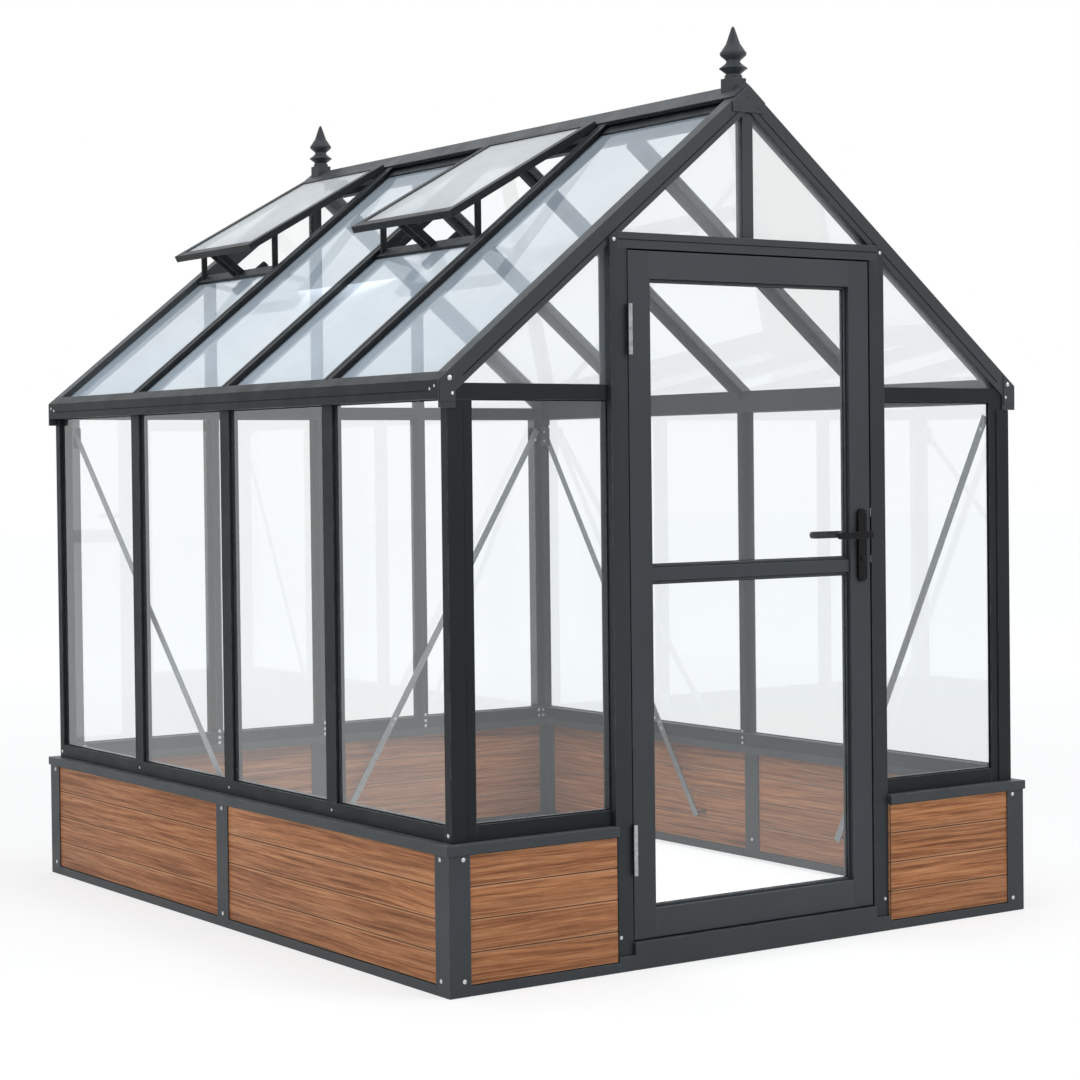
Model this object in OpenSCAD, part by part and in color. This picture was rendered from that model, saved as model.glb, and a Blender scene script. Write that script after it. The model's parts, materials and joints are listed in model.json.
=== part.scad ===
// Gable greenhouse: aluminium frame and clear glass on a low boarded base, with a hinged glass door,
// two roof vents propped open on the left slope, and a finial at each end of the ridge.
// +X is to the right seen from the door, +Y goes back from the door, +Z is up.
// The origin is on the ground at the centre of the base. All sizes are in millimetres.

/* [Overall] */
// Width of the base across its corner posts
base_w = 2040; // [1700:10:2450]
// Length of the base across its corner posts
base_l = 2480; // [2070:10:2980]
// Height of the boarded base to the top of its cap
base_h = 388; // [320:2:470]
// Height of the outer top edge of the eaves
eaves_z = 1568; // [1480:2:1880]
// Height of the roof surface at the ridge line
ridge_z = 2387; // [2330:1:2860]

/* [Base] */
// Width of each leg of a base corner post, and of its cover face
base_post_leg = 66; // [50:1:80]
// Width of the post at the middle of a base wall
base_mid_post_w = 70; // [50:1:90]
// Thickness of the posts' metal in front of and behind the boards
base_skin = 4; // [3:0.5:6]
// Thickness of the boards
board_t = 20; // [14:1:26]
// Height of the rail on the ground
ground_rail_h = 26; // [20:1:40]
// Height of the cap's edge
cap_h = 26; // [20:1:40]
// How far the cap stands out past the base
cap_lip = 5; // [2:1:12]

/* [Glasshouse walls] */
// How far the glass walls stand in from the face of the base
wall_inset = 26; // [16:1:36]
// Depth of the wall frame from its outer to its inner face
frame_d = 40; // [34:1:50]
// Thickness of the outer flange that covers the edges of the glass
flange_t = 10; // [6:1:12]
// Thickness of the glass
glass_t = 4; // [3:0.5:6]
// Width of the web of posts, mullions and rafters
web_w = 22; // [16:1:30]
// Height of the sill rail under the glass
sill_h = 42; // [30:1:60]
// Width of a corner post seen from the gable end
corner_face_w = 78; // [60:1:90]
// Width of a corner post seen from the side
corner_side_w = 27; // [22:1:40]
// Width of a wall mullion's outer flange
mullion_w = 55; // [40:1:70]
// Number of glass bays along each side
side_bays = 4; // [3:1:5]
// Number of glass bays across the back
back_bays = 4; // [2:1:5]
// Width of each bay of the back but the outer two, which share what is left
back_bay_w = 421; // [340:1:560]
// Height of the rail across a gable at the eaves
gable_rail_h = 42; // [30:1:60]

/* [Roof] */
// Height of the outer face of the eaves beam
eaves_face_h = 50; // [40:1:70]
// How far the eaves beam stands out past the glass wall
eaves_out = 24; // [14:1:40]
// Width of the eaves beam's sloping top
eaves_top_w = 35; // [25:1:50]
// Depth of a barge rafter, square to the slope
barge_d = 54; // [40:1:70]
// How far the barge rafters stand out past the gable wall
barge_out = 5; // [3:1:9]
// Width of the end plate where a barge rafter covers the corner
barge_foot_w = 50; // [40:1:60]
// How far that end plate reaches below the eaves beam
barge_foot_drop = 22; // [10:1:40]
// Width of a rafter's top
rafter_w = 40; // [30:1:50]
// Thickness of a rafter's top
rafter_top_t = 6; // [4:1:8]
// How far the roof glass lies below the tops of the rafters
roof_glass_drop = 20; // [14:1:26]
// Total depth of a rafter, square to the slope
rafter_d = 50; // [40:1:60]
// Width of the ridge cap on each slope
ridge_cap_w = 60; // [50:1:80]
// Thickness of the ridge cap
ridge_cap_t = 5; // [3:1:8]
// How far down the slope the ridge beam's glazing flange reaches
ridge_flange_w = 95; // [85:1:120]
// Width of the ridge beam's web
ridge_web_w = 40; // [30:1:60]
// Depth of the ridge beam
ridge_beam_h = 96; // [80:1:130]
// Width of the mullion between the door head and the apex
apex_mullion_w = 37; // [28:1:50]

/* [Roof vents] */
// Bays of the left slope that have a vent, counted from the door end
vent_bays = [1, 3];
// Length of a vent down the slope
vent_len = 590; // [480:5:700]
// Angle that the vents stand open from the slope of the roof
vent_open = 9.5; // [4:0.5:25]
// Gap between a vent and the rafters beside it
vent_gap = 6; // [4:1:12]
// Width of a vent's frame bars
vent_bar_w = 30; // [20:1:40]
// Thickness of a vent's frame
vent_t = 22; // [16:1:28]
// Width of the sill bar below a vent
vent_sill_w = 42; // [30:1:60]
// Length of the cylinder under each vent
opener_len = 150; // [120:5:180]

/* [Door] */
// Width of the clear opening between the jambs
door_opening_w = 862; // [700:2:960]
// Height of the underside of the door head
door_head_z = 1921; // [1780:1:2050]
// Height of the door head
door_head_h = 43; // [30:1:60]
// Height of the threshold
threshold_h = 73; // [40:1:90]
// Height of the threshold under the jambs
threshold_end_h = 40; // [26:1:60]
// Width of each jamb
jamb_w = 54; // [44:1:70]
// Depth of the jambs
jamb_d = 55; // [50:1:70]
// Gap all round the door leaf
door_gap = 5; // [5:1:8]
// Thickness of the door leaf
leaf_t = 40; // [34:1:46]
// How far the leaf's face lies behind the face of the jambs
leaf_setback = 2; // [0:1:6]
// Width of the stiles and top rail of the leaf
stile_w = 73; // [60:1:90]
// Height of the bottom rail of the leaf
door_bottom_rail_h = 78; // [60:1:110]
// Height of the middle of the glazing bar across the door
mid_rail_z = 1052; // [900:1:1200]
// Height of that glazing bar
mid_rail_h = 35; // [25:1:50]

/* [Door furniture] */
// Radius of a hinge barrel
hinge_r = 7; // [6:0.5:9]
// Radius of a hinge pin
hinge_pin_r = 3.5; // [3:0.25:4.5]
// Length of a hinge barrel
hinge_len = 132; // [100:2:160]
// Thickness of a hinge leaf
hinge_leaf_t = 2; // [1.5:0.1:2.2]
// Heights of the middles of the two hinges
hinge_z = [320, 1706];
// Height of the lever's spindle
lever_z = 1139; // [1000:1:1250]
// Length of the handle plates
handle_plate_h = 207; // [160:1:260]
// Width of the handle plates
handle_plate_w = 32; // [26:1:44]
// Thickness of the handle plates
handle_plate_t = 9; // [6:1:12]
// Length of the lever from its spindle
lever_len = 118; // [90:1:140]
// Radius of the spindle and the lever's neck
spindle_r = 8; // [6:0.5:10]

/* [Braces and finials] */
// Width of the flat braces
brace_w = 24; // [16:1:34]
// Thickness of the flat braces
brace_t = 4; // [3:0.5:6]
// Diameter of the spacers at the braces' low ends
brace_spacer_d = 12; // [8:1:18]
// Height of the braces' low ends above the ground
brace_low = 130; // [80:5:300]
// Height of a finial above the ridge cap
finial_h = 170; // [120:2:220]
// Widest diameter of a finial
finial_d = 80; // [60:1:100]

/* [Hidden] */
$fn = 48;

// Colours
ANTHRACITE = [0.20, 0.22, 0.23];
WALNUT = [0.50, 0.31, 0.18];
CLEAR = [0.85, 0.92, 0.95, 0.35];
ZINC = [0.75, 0.77, 0.78];
BLACK = [0.05, 0.05, 0.05];

// Half sizes of the base and the glass walls
bx = base_w / 2;
by = base_l / 2;
wx = bx - wall_inset;
wy = by - wall_inset;

// Inner faces of the wall frame and the base, and the planes of the wall glass
in_x = wx - frame_d;
in_y = wy - frame_d;
glass_x = wx - flange_t;
glass_y = wy - flange_t;
base_wall_t = board_t + 2 * base_skin;
cap_z = base_h - cap_h;
cap_w = wall_inset + frame_d + cap_lip;
sill_z = base_h + sill_h;

// The roof: its outer edge, slope and the length of the slope
eaves_x = wx + eaves_out;
pitch = atan((ridge_z - eaves_z) / eaves_x);
slope_len = eaves_x / cos(pitch);
beam_z = eaves_z - eaves_face_h;
gable_rail_top = beam_z + gable_rail_h;
roof_glass_low = slope_len - eaves_top_w;
rafter_seat = roof_glass_drop + glass_t;
barge_y = wy + barge_out;

// Door
jamb_in = door_opening_w / 2;
jamb_out = jamb_in + jamb_w;
jamb_face = wy + 15;
jamb_step = jamb_in + jamb_w / 2;
head_top = door_head_z + door_head_h;
leaf_w = door_opening_w - 2 * door_gap;
leaf_x = leaf_w / 2;
leaf_y = jamb_face - leaf_setback;
leaf_bottom = threshold_h + door_gap;
leaf_top = door_head_z - door_gap;
leaf_glass_x = leaf_x - stile_w;
leaf_glass_bottom = leaf_bottom + door_bottom_rail_h;
leaf_glass_top = leaf_top - stile_w;

// Hinges: the axis stands in front of the gap between the jamb and the leaf
hinge_x = -(jamb_in + leaf_x) / 2;
hinge_y = jamb_face + hinge_r + 2.5;
pin_gap = 0.3;
knuckle_gap = 0.6;

// Handle
handle_x = leaf_x - stile_w / 2 + 2;
handle_plate_z = lever_z - handle_plate_h * 0.14;
spindle_gap = 0.5;
lever_off = 30;
lever_t = 14;
lever_h = 20;
keyhole_drop = 60;
keyhole_r = 8;

// Gap at a joint between two like pieces
joint_gap = 0.6;

// Gap under and at the ends of a piece that is seated on a slope
seat_gap = 0.05;

// Shared slack that keeps a cutting tool past the face that it cuts
over = 1;

// A point of the right slope: u down the slope from the ridge line, n out of the roof, as [x, z]
function sp(u, n) = [u * cos(pitch) + n * sin(pitch), ridge_z - u * sin(pitch) + n * cos(pitch)];

// Height of the roof surface, or of a line n below it, over the place x
function roof_z(x, n = 0) = ridge_z + n / cos(pitch) - abs(x) * tan(pitch);

// Distance from the centre at which that line has the height z
function roof_x(z, n = 0) = (ridge_z + n / cos(pitch) - z) / tan(pitch);

// How far the gable glass reaches from the middle along the gable rails
gable_reach = min(roof_x(gable_rail_top, -barge_d), in_x);

// Lines of the side mullions and rafters, the back mullions
side_half = wy - 2;
side_lines = [for (i = [1:side_bays - 1]) -side_half + i * 2 * side_half / side_bays];
back_lines = [for (i = [1:back_bays - 1]) (i - back_bays / 2) * back_bay_w];

// A box between two corners
module block(a, b) {
    translate([min(a[0], b[0]), min(a[1], b[1]), min(a[2], b[2])])
        cube([abs(b[0] - a[0]), abs(b[1] - a[1]), abs(b[2] - a[2])]);
}

// The children and their mirror image to the left
module left_and_right() {
    children();
    mirror([1, 0, 0]) children();
}

// The children and their mirror image at the back
module front_and_back() {
    children();
    mirror([0, 1, 0]) children();
}

// A plan outline raised from one height to another
module upright(z0, z1) {
    translate([0, 0, z0]) linear_extrude(z1 - z0) children();
}

// An outline in x and z, run from y0 to y1
module along_y(y0, y1) {
    translate([0, y1, 0]) rotate([90, 0, 0]) linear_extrude(y1 - y0) children();
}

// Local x runs down the right slope from the ridge line, and local z out of the roof
module on_slope() {
    translate([0, 0, ridge_z]) rotate([0, pitch, 0]) children();
}

// Outline of the eaves beam on the right: sloping top, lip above the glass, seat under it
module eaves_outline() {
    lip = sp(roof_glass_low, 0);
    seat = sp(roof_glass_low, -rafter_seat);
    polygon([
        [eaves_x, beam_z], [eaves_x, eaves_z], lip, seat,
        [in_x, roof_z(in_x, -rafter_seat)], [in_x, beam_z]
    ]);
}

// Plan outline of the front right base corner post: a cover angle, a core and an inner angle
module base_corner_outline() {
    core = 2 * base_skin + board_t;
    polygon([
        [bx, -by], [bx, -by + base_post_leg], [bx - base_skin, -by + base_post_leg],
        [bx - base_skin, -by + core], [bx - base_skin - board_t, -by + core],
        [bx - base_skin - board_t, -by + base_post_leg], [bx - core, -by + base_post_leg],
        [bx - core, -by + core], [bx - base_post_leg, -by + core],
        [bx - base_post_leg, -by + core - base_skin], [bx - core, -by + core - base_skin],
        [bx - core, -by + base_skin], [bx - base_post_leg, -by + base_skin],
        [bx - base_post_leg, -by]
    ]);
}

// Plan outline of a base wall's middle post, its face on the line y = 0 and its depth along +y
module base_mid_outline() {
    h = base_mid_post_w / 2;
    w = web_w / 2;
    polygon([
        [-h, 0], [h, 0], [h, base_skin], [w, base_skin], [w, base_skin + board_t],
        [h, base_skin + board_t], [h, base_wall_t], [-h, base_wall_t],
        [-h, base_skin + board_t], [-w, base_skin + board_t], [-w, base_skin], [-h, base_skin]
    ]);
}

// Posts of the base: four corners, and one at the middle of each side and of the back
module base_posts() color(ANTHRACITE) {
    upright(0, cap_z) {
        left_and_right() front_and_back() base_corner_outline();
        left_and_right() translate([-bx, 0]) rotate(-90) base_mid_outline();
        translate([0, by]) rotate(180) base_mid_outline();
    }
}

// Rails on the ground between the posts, flush with their faces
module base_ground_rails() color(ANTHRACITE) {
    side_end = by - base_post_leg;
    back_end = bx - base_post_leg;
    half_post = base_mid_post_w / 2;
    left_and_right() front_and_back()
        block([bx, -side_end, 0], [bx - base_wall_t, -half_post, ground_rail_h]);
    left_and_right() {
        block([back_end, by, 0], [half_post, by - base_wall_t, ground_rail_h]);
        block([back_end, -by, 0], [jamb_out, -by + base_wall_t, ground_rail_h]);
    }
}

// Boards of the base's side walls: two panels a side, in the slots of the posts
module side_base_boards() color(WALNUT) {
    y_end = by - base_wall_t;
    left_and_right() front_and_back()
        block([bx - base_skin, -y_end, ground_rail_h],
            [bx - base_skin - board_t, -web_w / 2, cap_z]);
}

// Boards of the back wall of the base
module back_base_boards() color(WALNUT) {
    left_and_right()
        block([bx - base_wall_t, by - base_skin, ground_rail_h],
            [web_w / 2, by - base_skin - board_t, cap_z]);
}

// Boards beside the door
module front_base_boards() color(WALNUT) {
    left_and_right()
        block([bx - base_wall_t, -by + base_skin, ground_rail_h],
            [jamb_out, -by + base_skin + board_t, cap_z]);
}

// Caps of the base, mitred at the corners and stopping at the door jambs
module base_caps() color(ANTHRACITE) {
    ox = bx + cap_lip;
    oy = by + cap_lip;
    g = joint_gap;
    upright(cap_z, base_h) {
        left_and_right() {
            polygon([
                [ox, -oy], [ox, oy], [ox - cap_w, oy - cap_w], [ox - cap_w, -oy + cap_w]
            ]);
            polygon([
                [ox - g, -oy], [ox - cap_w - g, -oy + cap_w], [jamb_out, -oy + cap_w],
                [jamb_out, -oy]
            ]);
        }
        polygon([
            [-ox + g, oy], [ox - g, oy], [ox - cap_w - g, oy - cap_w],
            [-ox + cap_w + g, oy - cap_w]
        ]);
    }
}

// Plan outline of the front right corner post, with a rebate for the glass on each face
module corner_outline() {
    core_y = -glass_y + 6;
    slot_x = glass_x - glass_t - 6;
    polygon([
        [wx, -wy], [wx, -wy + corner_side_w], [glass_x, -wy + corner_side_w], [glass_x, core_y],
        [slot_x, core_y], [slot_x, -in_y], [in_x, -in_y], [in_x, -glass_y],
        [wx - corner_face_w, -glass_y], [wx - corner_face_w, -wy]
    ]);
}
module corner_posts() color(ANTHRACITE) {
    upright(base_h, beam_z) left_and_right() front_and_back() corner_outline();
}

// Sill rails under the wall glass, cut to the corner posts
module sill_rails() color(ANTHRACITE) {
    side_out = wy - corner_side_w;
    slot_x = glass_x - glass_t - 6;
    gable_out = wx - corner_face_w;
    left_and_right() {
        upright(base_h, sill_z) {
            polygon([
                [wx, -side_out], [wx, side_out], [slot_x, side_out], [slot_x, in_y], [in_x, in_y],
                [in_x, -in_y], [slot_x, -in_y], [slot_x, -side_out]
            ]);
            polygon([
                [jamb_out, -wy], [gable_out, -wy], [gable_out, -glass_y], [in_x, -glass_y],
                [in_x, -in_y], [jamb_out, -in_y]
            ]);
        }
    }
    upright(base_h, sill_z)
        polygon([
            [-gable_out, wy], [gable_out, wy], [gable_out, glass_y], [in_x, glass_y],
            [in_x, in_y], [-in_x, in_y], [-in_x, glass_y], [-gable_out, glass_y]
        ]);
}

// Plan outline of a mullion: its flange's face on the line y = 0, its web along +y
module mullion_outline(w) {
    polygon([
        [-w / 2, 0], [w / 2, 0], [w / 2, flange_t], [web_w / 2, flange_t], [web_w / 2, frame_d],
        [-web_w / 2, frame_d], [-web_w / 2, flange_t], [-w / 2, flange_t]
    ]);
}
module side_mullions() color(ANTHRACITE) {
    upright(sill_z, beam_z) left_and_right()
        for (y = side_lines) translate([wx, y]) rotate(90) mullion_outline(mullion_w);
}

// Mullions of the back wall: one length up to the gable rail and one above it, cut to the slope
module back_mullions() color(ANTHRACITE) {
    upright(sill_z, beam_z)
        for (x = back_lines) translate([x, wy]) rotate(180) mullion_outline(mullion_w);
    intersection() {
        upright(gable_rail_top, ridge_z)
            for (x = back_lines) translate([x, wy]) rotate(180) mullion_outline(apex_mullion_w);
        along_y(in_y - over, wy + over) under_roof(-barge_d);
    }
}

// The outline below a line n under the roof surface
module under_roof(n) {
    polygon([[-bx, roof_z(bx, n)], [0, roof_z(0, n)], [bx, roof_z(bx, n)], [bx, 0], [-bx, 0]]);
}

// Beams at the eaves, between the end plates of the barge rafters
module eaves_beams() color(ANTHRACITE) {
    left_and_right() along_y(-wy, wy) eaves_outline();
}

// Rails across the gables at the eaves: beside the door, and right across the back
module gable_rails() color(ANTHRACITE) {
    left_and_right() block([in_x, -wy, beam_z], [jamb_out, -in_y, gable_rail_top]);
    block([-in_x, wy, beam_z], [in_x, in_y, gable_rail_top]);
}

// Jambs: a face plate cut parallel to the slope, over a body that stops under the barge rafter
module door_jambs() color(ANTHRACITE) {
    overlap = 20;
    left_and_right() {
        along_y(-jamb_face, -barge_y)
            polygon([
                [jamb_out, threshold_end_h], [jamb_out, roof_z(jamb_out, -barge_d) + overlap],
                [jamb_step, roof_z(jamb_step, -barge_d) + overlap], [jamb_step, door_head_z],
                [jamb_in, door_head_z], [jamb_in, threshold_end_h]
            ]);
        along_y(-barge_y, -jamb_face + jamb_d)
            polygon([
                [jamb_out, threshold_end_h], [jamb_out, roof_z(jamb_out, -barge_d)],
                [jamb_step, roof_z(jamb_step, -barge_d)], [jamb_step, door_head_z],
                [jamb_in, door_head_z], [jamb_in, threshold_end_h]
            ]);
    }
}

// Door head: a face plate between the jambs' outer halves, over a body under the barge rafters
module door_head() color(ANTHRACITE) {
    block([-jamb_step, -jamb_face, door_head_z], [jamb_step, -barge_y, head_top]);
    intersection() {
        block([-jamb_step, -barge_y, door_head_z], [jamb_step, -jamb_face + jamb_d, head_top]);
        along_y(-jamb_face - over, 0) under_roof(-barge_d);
    }
}

// Threshold: as high as the leaf needs between the jambs, and lower where they stand on it
module door_threshold() color(ANTHRACITE) {
    along_y(-by, -jamb_face + jamb_d)
        polygon([
            [-jamb_out, 0], [jamb_out, 0], [jamb_out, threshold_end_h], [jamb_in, threshold_end_h],
            [jamb_in, threshold_h], [-jamb_in, threshold_h], [-jamb_in, threshold_end_h],
            [-jamb_out, threshold_end_h]
        ]);
}

// Mullion from the door head to the apex
module apex_mullion() color(ANTHRACITE) {
    intersection() {
        upright(head_top, ridge_z) translate([0, -wy]) mullion_outline(apex_mullion_w);
        along_y(-wy - over, 0) under_roof(-barge_d);
    }
}

// A barge rafter on the right: a face plate with a foot over the corner, and the rafter behind it
module barge_rafter() {
    foot_x = eaves_x - barge_foot_w;
    foot_z = beam_z - barge_foot_drop;
    end_z = max(gable_rail_top, roof_z(in_x, -barge_d));
    g = joint_gap / 2;
    along_y(-barge_y, -wy)
        polygon([
            [g, roof_z(g)], [eaves_x, eaves_z], [eaves_x, foot_z], [foot_x, foot_z],
            [foot_x, roof_z(foot_x, -barge_d)], [g, roof_z(g, -barge_d)]
        ]);
    along_y(-wy, -in_y)
        polygon([
            [g, roof_z(g)], sp(roof_glass_low, 0), sp(roof_glass_low, -rafter_seat),
            [in_x, roof_z(in_x, -rafter_seat)], [in_x, end_z],
            [roof_x(end_z, -barge_d), end_z], [g, roof_z(g, -barge_d)]
        ]);
}
module front_barge_rafters() color(ANTHRACITE) left_and_right() barge_rafter();
module back_barge_rafters() color(ANTHRACITE) mirror([0, 1, 0]) left_and_right() barge_rafter();

// A rafter of the right slope over the line y: top and neck above the glass, seat and web below
module rafter(y) {
    u0 = 12;
    difference() {
        on_slope() translate([0, y, 0]) {
            block([u0, -rafter_w / 2, -rafter_top_t], [roof_glass_low, rafter_w / 2, 0]);
            block([u0, -web_w / 2, -roof_glass_drop], [roof_glass_low, web_w / 2, 0]);
            block([ridge_flange_w, -web_w / 2, -rafter_d], [roof_glass_low, web_w / 2, 0]);
            block([ridge_flange_w, -rafter_w / 2, -rafter_seat - 5],
                [roof_glass_low, rafter_w / 2, -rafter_seat]);
        }
        translate([0, y, 0]) {
            along_y(-rafter_w, rafter_w) ridge_outline();
            along_y(-rafter_w, rafter_w) eaves_outline();
            block([-bx, -rafter_w, 0], [joint_gap / 2, rafter_w, ridge_z + over]);
            along_y(-rafter_w, rafter_w)
                polygon([
                    [in_x, 0], [in_x, roof_z(in_x, -rafter_seat)], [bx, roof_z(bx, -rafter_seat)],
                    [bx, 0]
                ]);
        }
    }
}
module left_rafters() color(ANTHRACITE) mirror([1, 0, 0]) for (y = side_lines) rafter(y);
module right_rafters() color(ANTHRACITE) for (y = side_lines) rafter(y);

// Outline of the ridge beam: a web with a glazing flange down each slope
module ridge_outline() {
    top = rafter_top_t + 8;
    low = rafter_seat + 5;
    h = ridge_web_w / 2;
    right = [
        sp(top * tan(pitch), -top), sp(ridge_flange_w, -top), sp(ridge_flange_w, -low),
        [h, roof_z(h, -low)], [h, ridge_z - ridge_beam_h]
    ];
    left = [for (i = [len(right) - 1:-1:1]) [-right[i][0], right[i][1]]];
    polygon(concat(right, left));
}
module ridge_beam() color(ANTHRACITE) along_y(-in_y, in_y) ridge_outline();

// Ridge cap: a folded strip that lies on the rafters
ridge_cap_top = ridge_z + (seat_gap + ridge_cap_t) / cos(pitch);
module ridge_cap() color(ANTHRACITE) {
    along_y(-wy, wy) {
        a = sp(ridge_cap_w, seat_gap);
        b = sp(ridge_cap_w, seat_gap + ridge_cap_t);
        polygon([
            [0, ridge_z + seat_gap / cos(pitch)], a, b, [0, ridge_cap_top], [-b[0], b[1]],
            [-a[0], a[1]]
        ]);
    }
}

// Wall glass of the right side: one sheet a bay, its edges in the webs
module side_glass() {
    ends = concat([-glass_y + 6], side_lines, [glass_y - 6]);
    for (i = [0:side_bays - 1]) {
        y0 = i == 0 ? ends[0] : ends[i] + web_w / 2;
        y1 = i == side_bays - 1 ? ends[i + 1] : ends[i + 1] - web_w / 2;
        block([glass_x, y0, sill_z], [glass_x - glass_t, y1, beam_z]);
    }
}
module left_wall_glass() color(CLEAR) mirror([1, 0, 0]) side_glass();
module right_wall_glass() color(CLEAR) side_glass();

// Glass of the back wall
module back_wall_glass() color(CLEAR) {
    ends = concat([-in_x], back_lines, [in_x]);
    for (i = [0:back_bays - 1]) {
        x0 = i == 0 ? ends[0] : ends[i] + web_w / 2;
        x1 = i == back_bays - 1 ? ends[i + 1] : ends[i + 1] - web_w / 2;
        block([x0, glass_y, sill_z], [x1, glass_y - glass_t, beam_z]);
    }
}

// Glass beside the door
module front_wall_glass() color(CLEAR) {
    left_and_right() block([in_x, -glass_y, sill_z], [jamb_out, -glass_y + glass_t, beam_z]);
}

// Gable glass at the front: a triangle on each side of the door, and a pair above it
module front_gable_glass() color(CLEAR) {
    left_and_right()
        intersection() {
            union() {
                block([jamb_out, -glass_y, gable_rail_top], [gable_reach, -glass_y + glass_t, ridge_z]);
                block([web_w / 2, -glass_y, head_top], [jamb_step, -glass_y + glass_t, ridge_z]);
            }
            along_y(-by, 0) under_roof(-barge_d);
        }
}

// Gable glass at the back: one sheet a bay, cut to the slope
module back_gable_glass() color(CLEAR) {
    ends = concat([-gable_reach], back_lines, [gable_reach]);
    intersection() {
        union()
            for (i = [0:back_bays - 1]) {
                x0 = i == 0 ? ends[0] : ends[i] + web_w / 2;
                x1 = i == back_bays - 1 ? ends[i + 1] : ends[i + 1] - web_w / 2;
                block([x0, glass_y, gable_rail_top], [x1, glass_y - glass_t, ridge_z]);
            }
        along_y(0, by) under_roof(-barge_d);
    }
}

// Ends of bay i of a slope, between the webs of its rafters
function roof_bay(i) = [
    i == 0 ? -in_y : side_lines[i - 1] + web_w / 2,
    i == side_bays - 1 ? in_y : side_lines[i] - web_w / 2
];

// A sheet of roof glass in bay i of the right slope, from u0 down to the eaves
module roof_sheet(i, u0) {
    b = roof_bay(i);
    on_slope()
        block([u0 + seat_gap, b[0], seat_gap - rafter_seat],
            [roof_glass_low - seat_gap, b[1], seat_gap - roof_glass_drop]);
}
module right_roof_glass() color(CLEAR) for (i = [0:side_bays - 1]) roof_sheet(i, ridge_flange_w);
module left_roof_glass() color(CLEAR)
    mirror([1, 0, 0])
        for (i = [0:side_bays - 1]) roof_sheet(i, is_vent(i) ? vent_sill_low : ridge_flange_w);

// Vents
function is_vent(i) = len([for (v = vent_bays) if (v == i) v]) > 0;
vent_hinge_u = ridge_cap_w + 4;
vent_hinge_n = -6;
vent_sill_high = vent_hinge_u + vent_len - vent_sill_w - 28;
vent_sill_low = vent_sill_high + vent_sill_w;

// Ends of the vent in bay i: clear of the rafters' tops
function vent_span(i) = let(b = roof_bay(i), side = (rafter_w - web_w) / 2 + vent_gap) [
    b[0] + (i == 0 ? vent_gap : side),
    b[1] - (i == side_bays - 1 ? vent_gap : side)
];

// Sill bars across the roof below the vents
module vent_sill_bars() color(ANTHRACITE) mirror([1, 0, 0])
    for (i = vent_bays) {
        b = roof_bay(i);
        on_slope()
            block([vent_sill_high, b[0], -rafter_seat], [vent_sill_low, b[1], -rafter_top_t - 4]);
    }

// Local x runs down an open vent from its hinge line
module on_vent() {
    on_slope() translate([vent_hinge_u, 0, vent_hinge_n]) rotate([0, -vent_open, 0]) children();
}

// Frames of the vents: side bars with a top and a bottom bar between them
module vent_frames() color(ANTHRACITE) mirror([1, 0, 0])
    for (i = vent_bays) {
        v = vent_span(i);
        on_vent() {
            block([0, v[0], 0], [vent_len, v[0] + vent_bar_w, vent_t]);
            block([0, v[1] - vent_bar_w, 0], [vent_len, v[1], vent_t]);
            block([0, v[0] + vent_bar_w, 0], [vent_bar_w, v[1] - vent_bar_w, vent_t]);
            block([vent_len - vent_bar_w, v[0] + vent_bar_w, 0],
                [vent_len, v[1] - vent_bar_w, vent_t]);
        }
    }
module vent_glass() color(CLEAR) mirror([1, 0, 0])
    for (i = vent_bays) {
        v = vent_span(i);
        on_vent()
            block([vent_bar_w, v[0] + vent_bar_w, vent_t - 4 - glass_t],
                [vent_len - vent_bar_w, v[1] - vent_bar_w, vent_t - 4]);
    }

// A strut of a vent at the place y, w wide: from the sill bar, where it is 24 long about sill_u, to
// the underside of the vent between a0 and a1 down from its hinge line
module vent_strut(y, w, a0, a1) {
    sill_u = (vent_sill_high + vent_sill_low) / 2;
    foot_n = -rafter_top_t - 4;
    function under(a) = [
        vent_hinge_u + a * cos(vent_open) + seat_gap * sin(vent_open),
        vent_hinge_n + a * sin(vent_open) - seat_gap * cos(vent_open)
    ];
    translate([0, y + w / 2, 0]) rotate([90, 0, 0]) linear_extrude(w)
        polygon([[sill_u - 12, foot_n], [sill_u + 12, foot_n], under(a1), under(a0)]);
}

// Opener of a vent: a cylinder under the middle of the opening, held to the sill bar by a foot, two
// struts from there to the vent's bottom bar and one to each of its side bars
module vent_openers() color(BLACK) mirror([1, 0, 0])
    for (i = vent_bays) {
        v = vent_span(i);
        mid = (v[0] + v[1]) / 2;
        low_n = -rafter_seat;
        sill_u = (vent_sill_high + vent_sill_low) / 2;
        on_slope() {
            translate([sill_u - 100, mid, low_n - 24]) rotate([0, 90, 0])
                cylinder(h = opener_len, r = 15);
            block([sill_u - 40, mid - 14, low_n - 24], [sill_u, mid + 14, low_n]);
            for (side = [-22, 22])
                vent_strut(mid + side, 8, vent_len - vent_bar_w + 2, vent_len - 2);
            for (y = [v[0] + vent_bar_w / 2, v[1] - vent_bar_w / 2])
                vent_strut(y, 8, vent_len - 120, vent_len - 98);
        }
    }

// Depth from the walls' inner faces to the boards
brace_standoff = bx - base_skin - board_t - in_x;

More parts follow.
